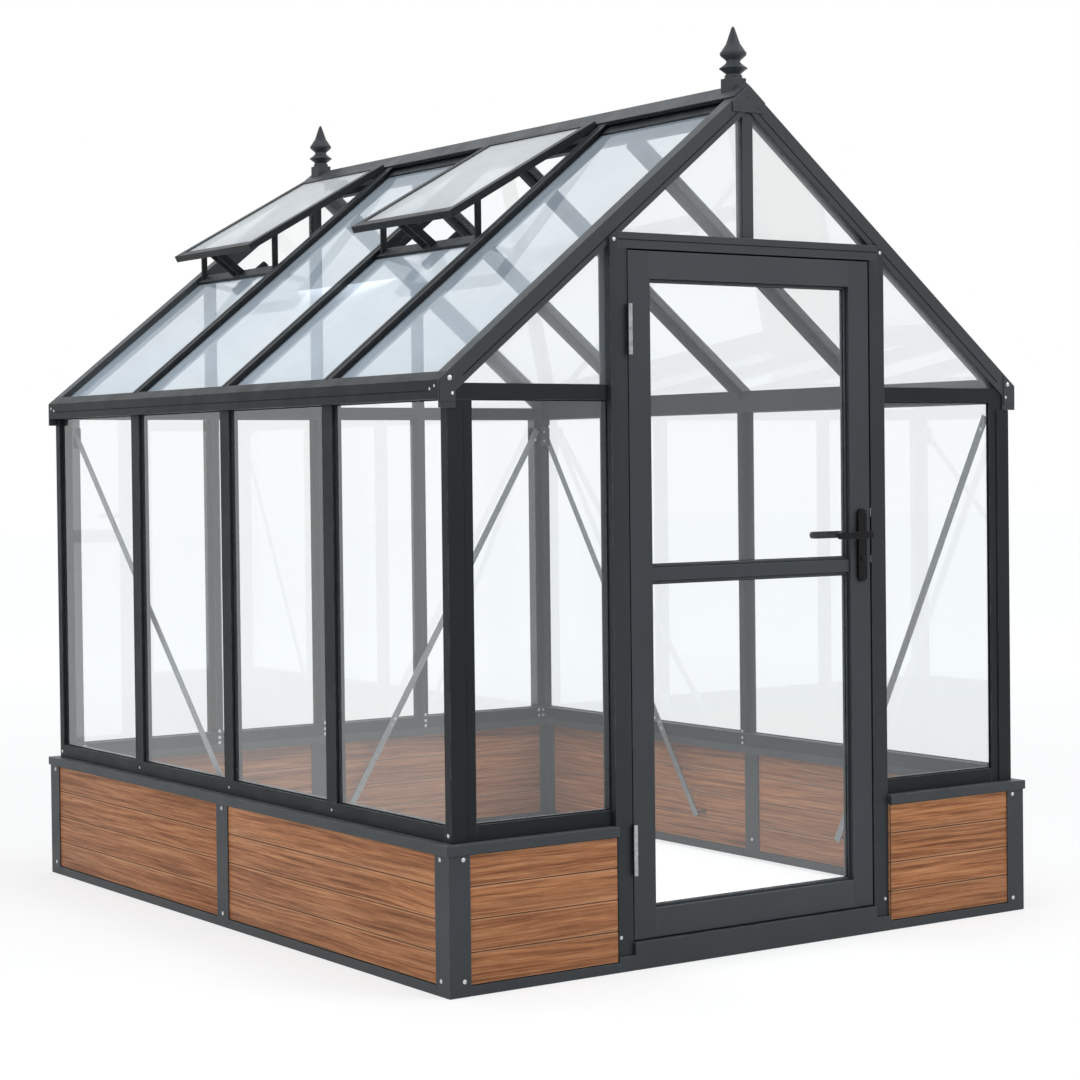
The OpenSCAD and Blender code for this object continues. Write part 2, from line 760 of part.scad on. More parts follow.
// A flat brace on the inner plane x = 0 of a wall, from a low point a to a top b, both given as
// [place along the wall, z]; a round spacer holds its low end off the boards
module flat_brace(a, b) {
    d = b - a;
    translate([0, a[0], a[1]]) {
        rotate([atan2(d[1], d[0]), 0, 0])
            block([0, -brace_w / 2, -brace_w / 2], [-brace_t, norm(d), brace_w / 2]);
        translate([-brace_t, 0, 0]) rotate([0, 90, 0])
            cylinder(d = brace_spacer_d, h = brace_t + brace_standoff);
    }
}
module wall_braces() color(ZINC) {
    top = beam_z - 40;
    side_top = [in_y - brace_w / 2, top];
    mirror([1, 0, 0]) translate([in_x, 0, 0]) flat_brace([-153, brace_low], side_top);
    translate([in_x, 0, 0]) {
        flat_brace([259, brace_low], side_top);
        mirror([0, 1, 0]) flat_brace([484, brace_low], side_top);
    }
    translate([0, in_y, 0]) mirror([1, -1, 0]) flat_brace([100, brace_low], [in_x - brace_w, top]);
}

// Plates with screws over the joints of the barge rafters at the apex
module apex_plates() color(ANTHRACITE) {
    half = 57;
    front_and_back()
        along_y(-barge_y - 4, -barge_y)
            polygon([
                [-half, roof_z(half)], [0, ridge_z], [half, roof_z(half)],
                [half, ridge_z - 76], [-half, ridge_z - 76]
            ]);
}

// Finials: a square foot saddled on the ridge cap, with a turned spike
module finials() color(ANTHRACITE) {
    foot = 50;
    foot_top = ridge_z + 25;
    seat = ridge_cap_top + seat_gap - ridge_z;
    k = finial_h / 170;
    r = finial_d / 2;
    front_and_back() translate([0, -wy + 34 + foot / 2, 0]) {
        along_y(-foot / 2, foot / 2)
            polygon([
                [-foot / 2, roof_z(foot / 2) + seat], [0, ridge_z + seat],
                [foot / 2, roof_z(foot / 2) + seat], [foot / 2, foot_top], [-foot / 2, foot_top]
            ]);
        translate([0, 0, foot_top])
            rotate_extrude()
                polygon([
                    [0, 0], [r * 0.62, 0], [r * 0.62, 8 * k], [r * 0.5, 12 * k], [r * 0.8, 22 * k],
                    [r, 28 * k], [r * 0.8, 34 * k], [r * 0.5, 44 * k], [r * 0.5, 50 * k],
                    [r * 0.9, 64 * k], [r * 0.94, 70 * k], [r * 0.5, 96 * k], [r * 0.12, 140 * k],
                    [0, 146 * k]
                ]);
    }
}

// Half of a hinge barrel from z0 to z1, with its leaf against the gap face at side -1 or 1
module hinge_half(z0, z1, side, bore) {
    leaf_out = hinge_y - jamb_face + leaf_t * 0.7;
    gap_face = door_gap / 2;
    difference() {
        union() {
            translate([hinge_x, -hinge_y, z0]) cylinder(h = z1 - z0, r = hinge_r);
            block([hinge_x + side * gap_face, -hinge_y, z0],
                [hinge_x + side * (gap_face - hinge_leaf_t), -hinge_y + leaf_out, z1]);
        }
        if (bore)
            translate([hinge_x, -hinge_y, z0 - over])
                cylinder(h = z1 - z0 + 2 * over, r = hinge_pin_r + pin_gap);
    }
}
module hinge_frame_halves() color(ZINC) {
    for (z = hinge_z) {
        hinge_half(z - hinge_len / 2, z - knuckle_gap / 2, -1, false);
        translate([hinge_x, -hinge_y, z - over])
            cylinder(h = hinge_len / 2 + over, r = hinge_pin_r);
    }
}
module hinge_door_halves() color(ZINC) {
    for (z = hinge_z) hinge_half(z + knuckle_gap / 2, z + hinge_len / 2, 1, true);
}

// Stiles of the door leaf, with a bore for the spindle in the right one, and rails between them
module door_stiles() color(ANTHRACITE) {
    difference() {
        left_and_right()
            block([leaf_glass_x, -leaf_y, leaf_bottom], [leaf_x, -leaf_y + leaf_t, leaf_top]);
        spindle_bore();
    }
}
module door_rails() color(ANTHRACITE) {
    for (z = [[leaf_bottom, leaf_glass_bottom], [leaf_glass_top, leaf_top]])
        block([-leaf_glass_x, -leaf_y, z[0]], [leaf_glass_x, -leaf_y + leaf_t, z[1]]);
}

// The hole that the spindle turns in, through the stile and both plates
module spindle_bore() {
    translate([handle_x, -leaf_y + leaf_t + 2 * handle_plate_t, lever_z]) rotate([90, 0, 0])
        cylinder(h = leaf_t + 4 * handle_plate_t, r = spindle_r + spindle_gap);
}

// Glazing bar across the door, and the two panes
module door_glazing_bar() color(ANTHRACITE) {
    inset = 6;
    block([-leaf_glass_x, -leaf_y + inset, mid_rail_z - mid_rail_h / 2],
        [leaf_glass_x, -leaf_y + leaf_t - inset, mid_rail_z + mid_rail_h / 2]);
}
module door_glass() color(CLEAR) {
    y0 = -leaf_y + leaf_t / 2 - glass_t / 2;
    block([-leaf_glass_x, y0, leaf_glass_bottom],
        [leaf_glass_x, y0 + glass_t, mid_rail_z - mid_rail_h / 2]);
    block([-leaf_glass_x, y0, mid_rail_z + mid_rail_h / 2],
        [leaf_glass_x, y0 + glass_t, leaf_glass_top]);
}

// Handle plates with round ends on both faces of the right stile, and the lock cylinder's ends
module handle_plates() color(BLACK) {
    r = handle_plate_w / 2;
    half = handle_plate_h / 2 - r;
    difference() {
        for (y = [-leaf_y, -leaf_y + leaf_t + handle_plate_t])
            translate([handle_x, y, handle_plate_z]) rotate([90, 0, 0]) {
                linear_extrude(handle_plate_t) {
                    square([handle_plate_w, 2 * half], center = true);
                    translate([0, half]) circle(r);
                    translate([0, -half]) circle(r);
                }
            }
        spindle_bore();
    }
}

// The lever set: one spindle through the stile with a lever on each side, pointing to the hinges
module door_lever() color(BLACK) {
    y_out = -leaf_y - handle_plate_t - lever_off;
    y_in = -leaf_y + leaf_t + handle_plate_t + lever_off;
    translate([handle_x, y_in, lever_z]) rotate([90, 0, 0]) cylinder(h = y_in - y_out, r = spindle_r);
    for (y = [y_out, y_in])
        translate([handle_x, y + lever_t / 2, lever_z]) rotate([90, 0, 0])
            linear_extrude(lever_t) {
                circle(lever_h / 2);
                translate([-lever_len + lever_h / 2, 0]) circle(lever_h / 2);
                translate([-lever_len + lever_h / 2, -lever_h / 2])
                    square([lever_len - lever_h / 2, lever_h]);
            }
}

base_posts();
base_ground_rails();
base_caps();
side_base_boards();
back_base_boards();
front_base_boards();
corner_posts();
sill_rails();
side_mullions();
back_mullions();
eaves_beams();
gable_rails();
door_jambs();
door_head();
door_threshold();
apex_mullion();
front_barge_rafters();
back_barge_rafters();
left_rafters();
right_rafters();
ridge_beam();
ridge_cap();
left_wall_glass();
right_wall_glass();
back_wall_glass();
front_wall_glass();
front_gable_glass();
back_gable_glass();
left_roof_glass();
right_roof_glass();
vent_sill_bars();
vent_frames();
vent_glass();
vent_openers();
wall_braces();
apex_plates();
finials();
hinge_frame_halves();
door_stiles();
door_rails();
door_glazing_bar();
door_glass();
hinge_door_halves();
handle_plates();
door_lever();
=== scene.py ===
"""Glass greenhouse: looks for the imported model, in the model's own frame, in metres."""
import json
import math
import random

import bmesh
import bpy
from mathutils import Matrix, Vector
from mathutils.bvhtree import BVHTree

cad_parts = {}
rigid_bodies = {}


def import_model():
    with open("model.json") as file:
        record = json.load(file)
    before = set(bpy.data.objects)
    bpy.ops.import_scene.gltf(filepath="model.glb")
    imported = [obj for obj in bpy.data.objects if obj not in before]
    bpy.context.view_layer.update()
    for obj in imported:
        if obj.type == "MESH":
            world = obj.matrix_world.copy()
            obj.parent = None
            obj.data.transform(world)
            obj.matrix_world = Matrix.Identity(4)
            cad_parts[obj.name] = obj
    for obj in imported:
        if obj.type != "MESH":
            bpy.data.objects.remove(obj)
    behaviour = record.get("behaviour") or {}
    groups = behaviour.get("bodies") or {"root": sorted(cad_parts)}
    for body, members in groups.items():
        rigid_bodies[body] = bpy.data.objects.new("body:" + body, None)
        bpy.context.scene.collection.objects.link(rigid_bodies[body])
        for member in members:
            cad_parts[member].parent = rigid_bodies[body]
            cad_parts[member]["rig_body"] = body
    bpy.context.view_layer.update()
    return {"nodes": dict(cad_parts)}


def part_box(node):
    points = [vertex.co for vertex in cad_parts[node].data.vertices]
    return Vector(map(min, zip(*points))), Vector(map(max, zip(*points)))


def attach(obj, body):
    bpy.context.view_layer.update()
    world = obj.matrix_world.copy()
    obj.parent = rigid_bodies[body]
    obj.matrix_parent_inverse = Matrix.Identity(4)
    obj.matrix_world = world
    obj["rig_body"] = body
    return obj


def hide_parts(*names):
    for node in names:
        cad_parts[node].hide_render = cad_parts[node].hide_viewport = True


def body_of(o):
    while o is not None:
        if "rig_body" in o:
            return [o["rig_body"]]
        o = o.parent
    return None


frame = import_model()
scene = bpy.context.scene
rng = random.Random(11)


# ---------------------------------------------------------------- driving values
WX, WY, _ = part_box("corner_posts")[1]                   # outer faces of the wall frame
EAVES_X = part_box("eaves_beams")[1].x
EAVES_Z = 1.568                                         # where the slopes end
BEAM_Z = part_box("eaves_beams")[0].z                     # underside of the eaves beams
SILL_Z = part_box("sill_rails")[1].z
CAP_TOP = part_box("base_caps")[1].z
barge_lo, barge_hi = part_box("front_barge_rafters")
BARGE_Y, BARGE_FOOT, RIDGE_Z = -barge_lo.y, barge_lo.z, barge_hi.z
PITCH = math.atan((RIDGE_Z - EAVES_Z) / EAVES_X)
SLOPE_LEN = EAVES_X / math.cos(PITCH)
leaf_lo, leaf_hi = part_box("door_stiles")
pane_lo, pane_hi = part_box("door_glass")
bar_lo, bar_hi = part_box("door_glazing_bar")
HEAD_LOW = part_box("door_head")[0].z
JAMB_FACE = -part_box("door_jambs")[0].y
JAMB_IN, JAMB_STEP, JAMB_OUT = 0.431, 0.458, 0.485      # half widths at the opening, step and outside

FRAME_D = 0.040                         # depth of the wall frame
IN_X, IN_Y = WX - FRAME_D, WY - FRAME_D
GLASS_SET = 0.010                       # the glass lies this far behind the frame's face
GLASS_X, GLASS_Y = WX - GLASS_SET, WY - GLASS_SET
SIDE_LINES = (-0.606, 0.0, 0.606)       # mullions and rafters of the sides
BACK_LINES = (-0.421, 0.0, 0.421)       # mullions of the back
VENT_BAYS = (1, 3)                      # bays of the left slope with a vent, from the door
MULLION_HALF = 0.0275                   # half the width of a mullion
CORNER_FACE, CORNER_SIDE = 0.078, 0.027 # widths of a corner post on the front and on the side

# Boards of the base
BOARDS_A_PANEL = 4
BOARD_GAP, BOARD_CHAMFER = 0.0014, 0.0042
SHADE_STRIP_SET = 0.006                      # the black strips of painted shade in the board gaps lie this far inside the boards' faces

# Each brace: the place of its low end along its wall, and its run for each unit of rise
BRACE_LOW = 0.130
LEFT_BRACE, RIGHT_BRACE = (-0.153, 0.9770), (0.259, 0.6714)
FRONT_BRACE, BACK_BRACE = (-0.484, -0.5045), (0.100, 0.6261)

# Screws: their radii, and how far from the middle the lines start that find their places
LARGE, MEDIUM, SMALL = 0.0050, 0.0042, 0.0034
CORNER_SCREW, BRACE_SCREW, APEX_SCREW, COVER_SCREW = 0.0048, 0.0046, 0.0038, 0.0040
OUTSIDE, INSIDE = 2, 0.6
POST_SCREWS_Z = (0.350, 0.040)
JAMB_SCREW_X = 0.472

# Plates, seals, joints and beads
PLATE_X = (0.971, 1.016)                # sides of the eaves plates
PLATE_T = 0.0025                        # thickness of the eaves plates and the brace brackets
SEAL_W, SEAL_H = 0.0030, 0.0032         # glazing seals
LINE_H = 0.0009                         # height of the fine joints
BEAD_W, BEAD_H = 0.0085, 0.0050         # beads round the panes of the door
REBATE_Y, REBATE_END = -1.2070, -1.1900 # near and far side of the black seal round the door leaf
BEHIND_HINGES_Y = -1.2000               # where that seal starts on the side of the hinges
KEY_Z = 1.072                           # height of the key cylinders
BARREL_LEN = 0.132                      # length of a hinge barrel


# ---------------------------------------------------------------- camera
CAMERA_AT = (-4.333, -6.462, 1.354)
CAMERA_TURN = (34.63, -1.08, 0.65)      # away from +y, up and roll, in degrees
LENS, SENSOR, LENS_SHIFT = 81.87, 36, -0.0286


def add_camera():
    """A long lens at eye height in front of the left corner."""
    yaw, pitch, roll = (math.radians(a) for a in CAMERA_TURN)
    forward = Vector((math.sin(yaw) * math.cos(pitch), math.cos(yaw) * math.cos(pitch), math.sin(pitch)))
    right = forward.cross(Vector((0, 0, 1))).normalized()
    up = right.cross(forward)
    turned = Matrix.Rotation(roll, 3, forward)
    right, up = turned @ right, turned @ up
    data = bpy.data.cameras.new("camera")
    data.sensor_width = SENSOR
    data.lens = LENS
    data.shift_y = LENS_SHIFT
    cam = bpy.data.objects.new("camera", data)
    turn = Matrix((right, up, -forward)).transposed().to_4x4()
    cam.matrix_world = Matrix.Translation(CAMERA_AT) @ turn
    scene.collection.objects.link(cam)
    scene.camera = cam


# ---------------------------------------------------------------- materials
class Shader:
    """A material's nodes, with short calls for the kinds used here."""

    def __init__(self, name):
        self.mat = bpy.data.materials.new(name)
        self.mat.use_nodes = True
        self.tree = self.mat.node_tree
        self.tree.nodes.clear()

    def node(self, kind, inputs=None, **props):
        """A new node: inputs are links or plain values."""
        n = self.tree.nodes.new("ShaderNode" + kind)
        for key, value in props.items():
            setattr(n, key, value)
        for key, value in (inputs or {}).items():
            if isinstance(value, bpy.types.NodeSocket):
                self.tree.links.new(value, n.inputs[key])
            else:
                n.inputs[key].default_value = value
        return n

    def place(self, scale=(1, 1, 1), source=None):
        """Object coordinates, or the given ones, scaled."""
        where = source or self.node("TexCoord").outputs["Object"]
        return self.node("Mapping", {"Vector": where, "Scale": scale}).outputs["Vector"]

    def noise(self, vector, scale, detail=4.0, roughness=0.5, distortion=0.0):
        """Grey noise, 0 to 1."""
        made = self.node("TexNoise", {"Vector": vector, "Scale": scale, "Detail": detail,
                                      "Roughness": roughness, "Distortion": distortion})
        return made.outputs["Fac"]

    def ramp(self, fac, stops):
        """Colours at stops of (place, colour), chosen by fac."""
        n = self.node("ValToRGB", {"Fac": fac})
        band = n.color_ramp
        while len(band.elements) < len(stops):
            band.elements.new(0.5)
        for element, (at, colour) in zip(band.elements, stops):
            element.position = at
            element.color = (*colour, 1)
        return n.outputs["Color"]

    def span(self, value, low, high, to_low, to_high):
        """Value from low..high spread over to_low..to_high, held at the ends."""
        made = self.node("MapRange", {"Value": value, "From Min": low, "From Max": high,
                                      "To Min": to_low, "To Max": to_high})
        return made.outputs["Result"]

    def mix(self, fac, a, b):
        """Two colours mixed by fac."""
        n = self.node("Mix", data_type="RGBA")
        for index, value in ((0, fac), (6, a), (7, b)):
            if isinstance(value, bpy.types.NodeSocket):
                self.tree.links.new(value, n.inputs[index])
            else:
                n.inputs[index].default_value = (*value, 1) if index and len(value) == 3 else value
        return n.outputs[2]

    def maths(self, operation, a, b):
        """One step of arithmetic."""
        return self.node("Math", {0: a, 1: b}, operation=operation).outputs[0]

    def bump(self, height, strength, distance):
        """A normal that follows a height."""
        inputs = {"Height": height, "Strength": strength, "Distance": distance}
        return self.node("Bump", inputs).outputs["Normal"]

    def attribute(self, name):
        """A value that the mesh carries."""
        return self.node("Attribute", attribute_name=name)

    def principled(self, inputs):
        """The usual surface shader."""
        return self.node("BsdfPrincipled", inputs).outputs["BSDF"]

    def finish(self, shader):
        """Joins the shader to the output and returns the material."""
        self.node("OutputMaterial", {"Surface": shader})
        return self.mat


def powder_coat(name, deep, light, shine):
    """Anthracite powder coat: fine orange peel, faint mottling, dust and a painted sheen on top faces, rubbed
    edges.
    """
    s = Shader(name)
    at = s.place()
    mottle = s.noise(at, 2.3, 5, 0.55)
    fine = s.noise(at, 650, 2, 0.5)
    colour = s.ramp(mottle, [(0.30, deep), (0.70, light)])
    up = s.node("SeparateXYZ", {0: s.node("NewGeometry").outputs["Normal"]}).outputs["Z"]
    # top faces paler, partly dust and partly a painted sheen, more on the shinier coats
    lying = s.span(up, 0.35, 0.9, 0.0, 1.7 * shine)
    patches = s.span(s.noise(at, 14, 6), 0.35, 0.7, 0.45, 1.0)
    dust_and_sheen = s.maths("MULTIPLY", lying, patches)
    colour = s.mix(dust_and_sheen, colour, (0.155, 0.175, 0.190))
    rubbed = s.maths("MULTIPLY", s.attribute("edge").outputs["Fac"],
                     s.span(s.noise(at, 30, 4), 0.45, 0.65, 0.12, 0.6))
    colour = s.mix(rubbed, colour, (0.105, 0.115, 0.122))
    rough = s.span(s.noise(at, 9, 4), 0.3, 0.7, 0.40, 0.52)
    peel = s.bump(fine, 0.12, 0.0002)
    return s.finish(s.principled({"Base Color": colour, "Roughness": rough, "Normal": peel,
                                  "Specular IOR Level": shine}))


def walnut():
    """Oiled walnut boards: the grain runs along each board and starts afresh on the next."""
    s = Shader("walnut_boards")
    grain = s.attribute("grain").outputs["Vector"]
    tone = s.attribute("tone").outputs["Fac"]
    drift = s.noise(s.place((1.1, 4.0, 4.0), grain), 1.5, 2, 0.5)
    warp = s.node("CombineXYZ", {"Y": s.span(drift, 0.2, 0.8, -0.010, 0.010)}).outputs[0]
    bent = s.node("VectorMath", {0: grain, 1: warp}, operation="ADD").outputs[0]
    figure = s.noise(s.place((1.3, 48.0, 48.0), bent), 2.0, 8, 0.72, 0.15)
    streak = s.noise(s.place((2.6, 230.0, 230.0), bent), 1.6, 6, 0.68)
    pores = s.noise(s.place((22.0, 700.0, 700.0), bent), 1.0, 2, 0.5)
    wide = s.noise(s.place((0.8, 9.0, 9.0), grain), 1.6, 3, 0.5)
    colour = s.ramp(figure, [(0.30, (0.085, 0.032, 0.013)), (0.42, (0.290, 0.108, 0.043)),
                             (0.52, (0.480, 0.198, 0.081)), (0.64, (0.620, 0.300, 0.140)),
                             (0.78, (0.370, 0.148, 0.062))])
    colour = s.mix(s.span(streak, 0.50, 0.66, 0.0, 0.78), colour, (0.085, 0.033, 0.014))
    colour = s.mix(s.span(wide, 0.40, 0.75, 0.0, 0.34), colour, (0.210, 0.095, 0.050))
    colour = s.mix(s.span(tone, 0.0, 1.0, 0.0, 0.22), colour, (0.160, 0.066, 0.030))
    colour = s.mix(s.span(pores, 0.60, 0.74, 0.0, 0.45), colour, (0.045, 0.019, 0.010))
    worn = s.maths("MULTIPLY", s.attribute("edge").outputs["Fac"], s.span(streak, 0.3, 0.7, 0.15, 0.5))
    colour = s.mix(worn, colour, (0.640, 0.380, 0.220))
    rough = s.span(figure, 0.3, 0.7, 0.58, 0.44)
    relief = s.maths("ADD", s.maths("MULTIPLY", streak, 0.6), s.maths("MULTIPLY", pores, 0.4))
    return s.finish(s.principled({"Base Color": colour, "Roughness": rough,
                                  "Normal": s.bump(relief, 0.35, 0.0008),
                                  "Specular IOR Level": 0.20}))


def clear_glass(name, index, haze_and_reflection_low, haze_and_reflection_high, tint, z_low, z_high):
    """A clear sheet: its outer face mirrors for both, under a thin pale film, heavier towards its foot, that
    is partly haze and partly painted reflection.
    """
    s = Shader(name)
    at = s.place()
    height = s.node("SeparateXYZ", {0: at}).outputs["Z"]
    # the film is partly haze and partly painted reflection, heavier towards the foot
    haze_and_reflection = s.span(height, z_low, z_high, haze_and_reflection_low, haze_and_reflection_high)
    haze_and_reflection = s.maths("MULTIPLY", haze_and_reflection, s.span(s.noise(at, 1.7, 4, 0.55), 0.3, 0.7, 0.80, 1.20))
    outer = s.maths("SUBTRACT", 1.0, s.node("NewGeometry").outputs["Backfacing"])
    haze_and_reflection = s.maths("MULTIPLY", haze_and_reflection, outer)
    smear = s.noise(s.place((9, 9, 2.5)), 5, 5, 0.6)
    rough = s.span(smear, 0.35, 0.75, 0.0, 0.020)
    wave = s.bump(s.noise(at, 2.6, 2, 0.4), 0.02, 0.001)
    pane = s.node("BsdfGlossy", {"Color": (0.975, 0.99, 1.0, 1), "Roughness": rough,
                                 "Normal": wave}).outputs[0]
    through = s.node("BsdfTransparent", {"Color": (0.985, 0.992, 0.992, 1)}).outputs[0]
    mirror = s.maths("MULTIPLY", s.node("Fresnel", {"IOR": index, "Normal": wave}).outputs[0], outer)
    sheet = s.node("MixShader", {0: mirror, 1: through, 2: pane}).outputs[0]
    near = s.node("BsdfDiffuse", {"Color": (*tint, 1), "Roughness": 0.3}).outputs[0]
    far = s.node("BsdfTranslucent", {"Color": (*tint, 1)}).outputs[0]
    veil = s.node("MixShader", {0: 0.5, 1: near, 2: far}).outputs[0]
    seen = s.node("MixShader", {0: haze_and_reflection, 1: sheet, 2: veil}).outputs[0]
    clean = s.node("BsdfTransparent", {"Color": (0.97, 0.975, 0.975, 1)}).outputs[0]
    light = s.node("LightPath").outputs["Is Shadow Ray"]
    return s.finish(s.node("MixShader", {0: light, 1: seen, 2: clean}).outputs[0])


def zinc(name, dull, bright, rough_low, rough_high):
    """Zinc plating: fine spangle between a dull and a bright tone."""
    s = Shader(name)
    at = s.place()
    spangle = s.node("TexVoronoi", {"Vector": at, "Scale": 210.0}).outputs["Distance"]
    colour = s.ramp(s.noise(at, 60, 5), [(0.3, dull), (0.7, bright)])
    colour = s.mix(s.span(spangle, 0.2, 0.7, 0.0, 0.35), colour, dull)
    rough = s.span(s.noise(at, 90, 4), 0.3, 0.7, rough_low, rough_high)
    return s.finish(s.principled({"Base Color": colour, "Metallic": 1.0, "Roughness": rough,
                                  "Normal": s.bump(s.noise(at, 500, 2), 0.15, 0.0002)}))


def satin_black(name, base, rough_low, rough_high, speckle):
    """Black coating or rubber: finely speckled, paler at its edges, partly from wear and partly as a painted
    glint.
    """
    s = Shader(name)
    at = s.place()
    lighter = tuple(min(1.0, c * 1.9 + 0.003) for c in base)
    colour = s.mix(s.span(s.noise(at, 25, 5), 0.3, 0.7, 0.0, 1.0), base, lighter)
    # paler edges: partly wear, partly a painted glint
    worn = s.maths("MULTIPLY", s.attribute("edge").outputs["Fac"],
                   s.span(s.noise(at, 70, 3), 0.45, 0.7, 0.0, 0.5))
    colour = s.mix(worn, colour, (0.09, 0.09, 0.09))
    rough = s.span(s.noise(at, 40, 3), 0.3, 0.7, rough_low, rough_high)
    return s.finish(s.principled({"Base Color": colour, "Roughness": rough,
                                  "Normal": s.bump(s.noise(at, speckle, 2), 0.15, 0.0002),
                                  "Specular IOR Level": 0.14}))


# One anthracite coat in four copies: the rail copy is lighter as painted light, the jamb and profile copies
# darker as painted shade.
FRAME = powder_coat("anthracite_powder_coat", (0.0250, 0.0300, 0.0345), (0.0350, 0.0405, 0.0460), 0.32)
SHADED_JAMB_COAT = powder_coat("anthracite_shaded_jambs", (0.0150, 0.0190, 0.0220), (0.0215, 0.0260, 0.0295), 0.28)
LIT_RAIL_COAT = powder_coat("anthracite_lit_rails", (0.0290, 0.0350, 0.0400), (0.0395, 0.0465, 0.0520), 0.32)
SHADED_PROFILE_COAT = powder_coat("anthracite_shaded_profiles", (0.0060, 0.0085, 0.0105), (0.0105, 0.0135, 0.0160), 0.20)
WOOD = walnut()
# The films of the sheets are partly haze and partly painted reflection; the roof's blue-grey film, heaviest
# at the eaves, is painted reflection.
WALL_GLASS = clear_glass("clear_glass_walls", 2.0, 0.035, 0.015, (0.96, 0.98, 0.98), SILL_Z, BEAM_Z)
FRONT_GLASS = clear_glass("clear_glass_front", 1.65, 0.055, 0.048, (0.93, 0.97, 1.0), SILL_Z, BEAM_Z)
ROOF_GLASS = clear_glass("clear_glass_roof", 1.8, 0.58, 0.43, (0.66, 0.77, 0.88), EAVES_Z, EAVES_Z + 0.62)
FAR_ROOF_GLASS = clear_glass("clear_glass_far_roof", 1.7, 0.12, 0.05, (0.90, 0.95, 1.0),
                             EAVES_Z, EAVES_Z + 0.62)
VENT_GLASS = clear_glass("clear_glass_vents", 1.8, 0.74, 0.68, (0.93, 0.97, 1.0), 2.05, RIDGE_Z)
GABLE_GLASS = clear_glass("clear_glass_gables", 1.7, 0.15, 0.13, (0.96, 0.98, 1.0), BEAM_Z, RIDGE_Z)
ZINC = zinc("bright_zinc", (0.50, 0.52, 0.53), (0.74, 0.76, 0.77), 0.26, 0.44)
HINGE = zinc("hinge_steel", (0.26, 0.27, 0.28), (0.46, 0.47, 0.48), 0.12, 0.22)
BRACE = zinc("dull_zinc", (0.23, 0.245, 0.25), (0.33, 0.345, 0.35), 0.42, 0.60)
BLACK = satin_black("satin_black_handle", (0.003, 0.003, 0.0035), 0.24, 0.34, 900)
OPENER = satin_black("matt_black_openers", (0.008, 0.009, 0.010), 0.42, 0.55, 700)
# black for the seals, and also for the painted shade on the boards
BLACK_SEALS_AND_SHADE = satin_black("black_seals_and_painted_shade", (0.003, 0.0035, 0.004), 0.60, 0.75, 1200)


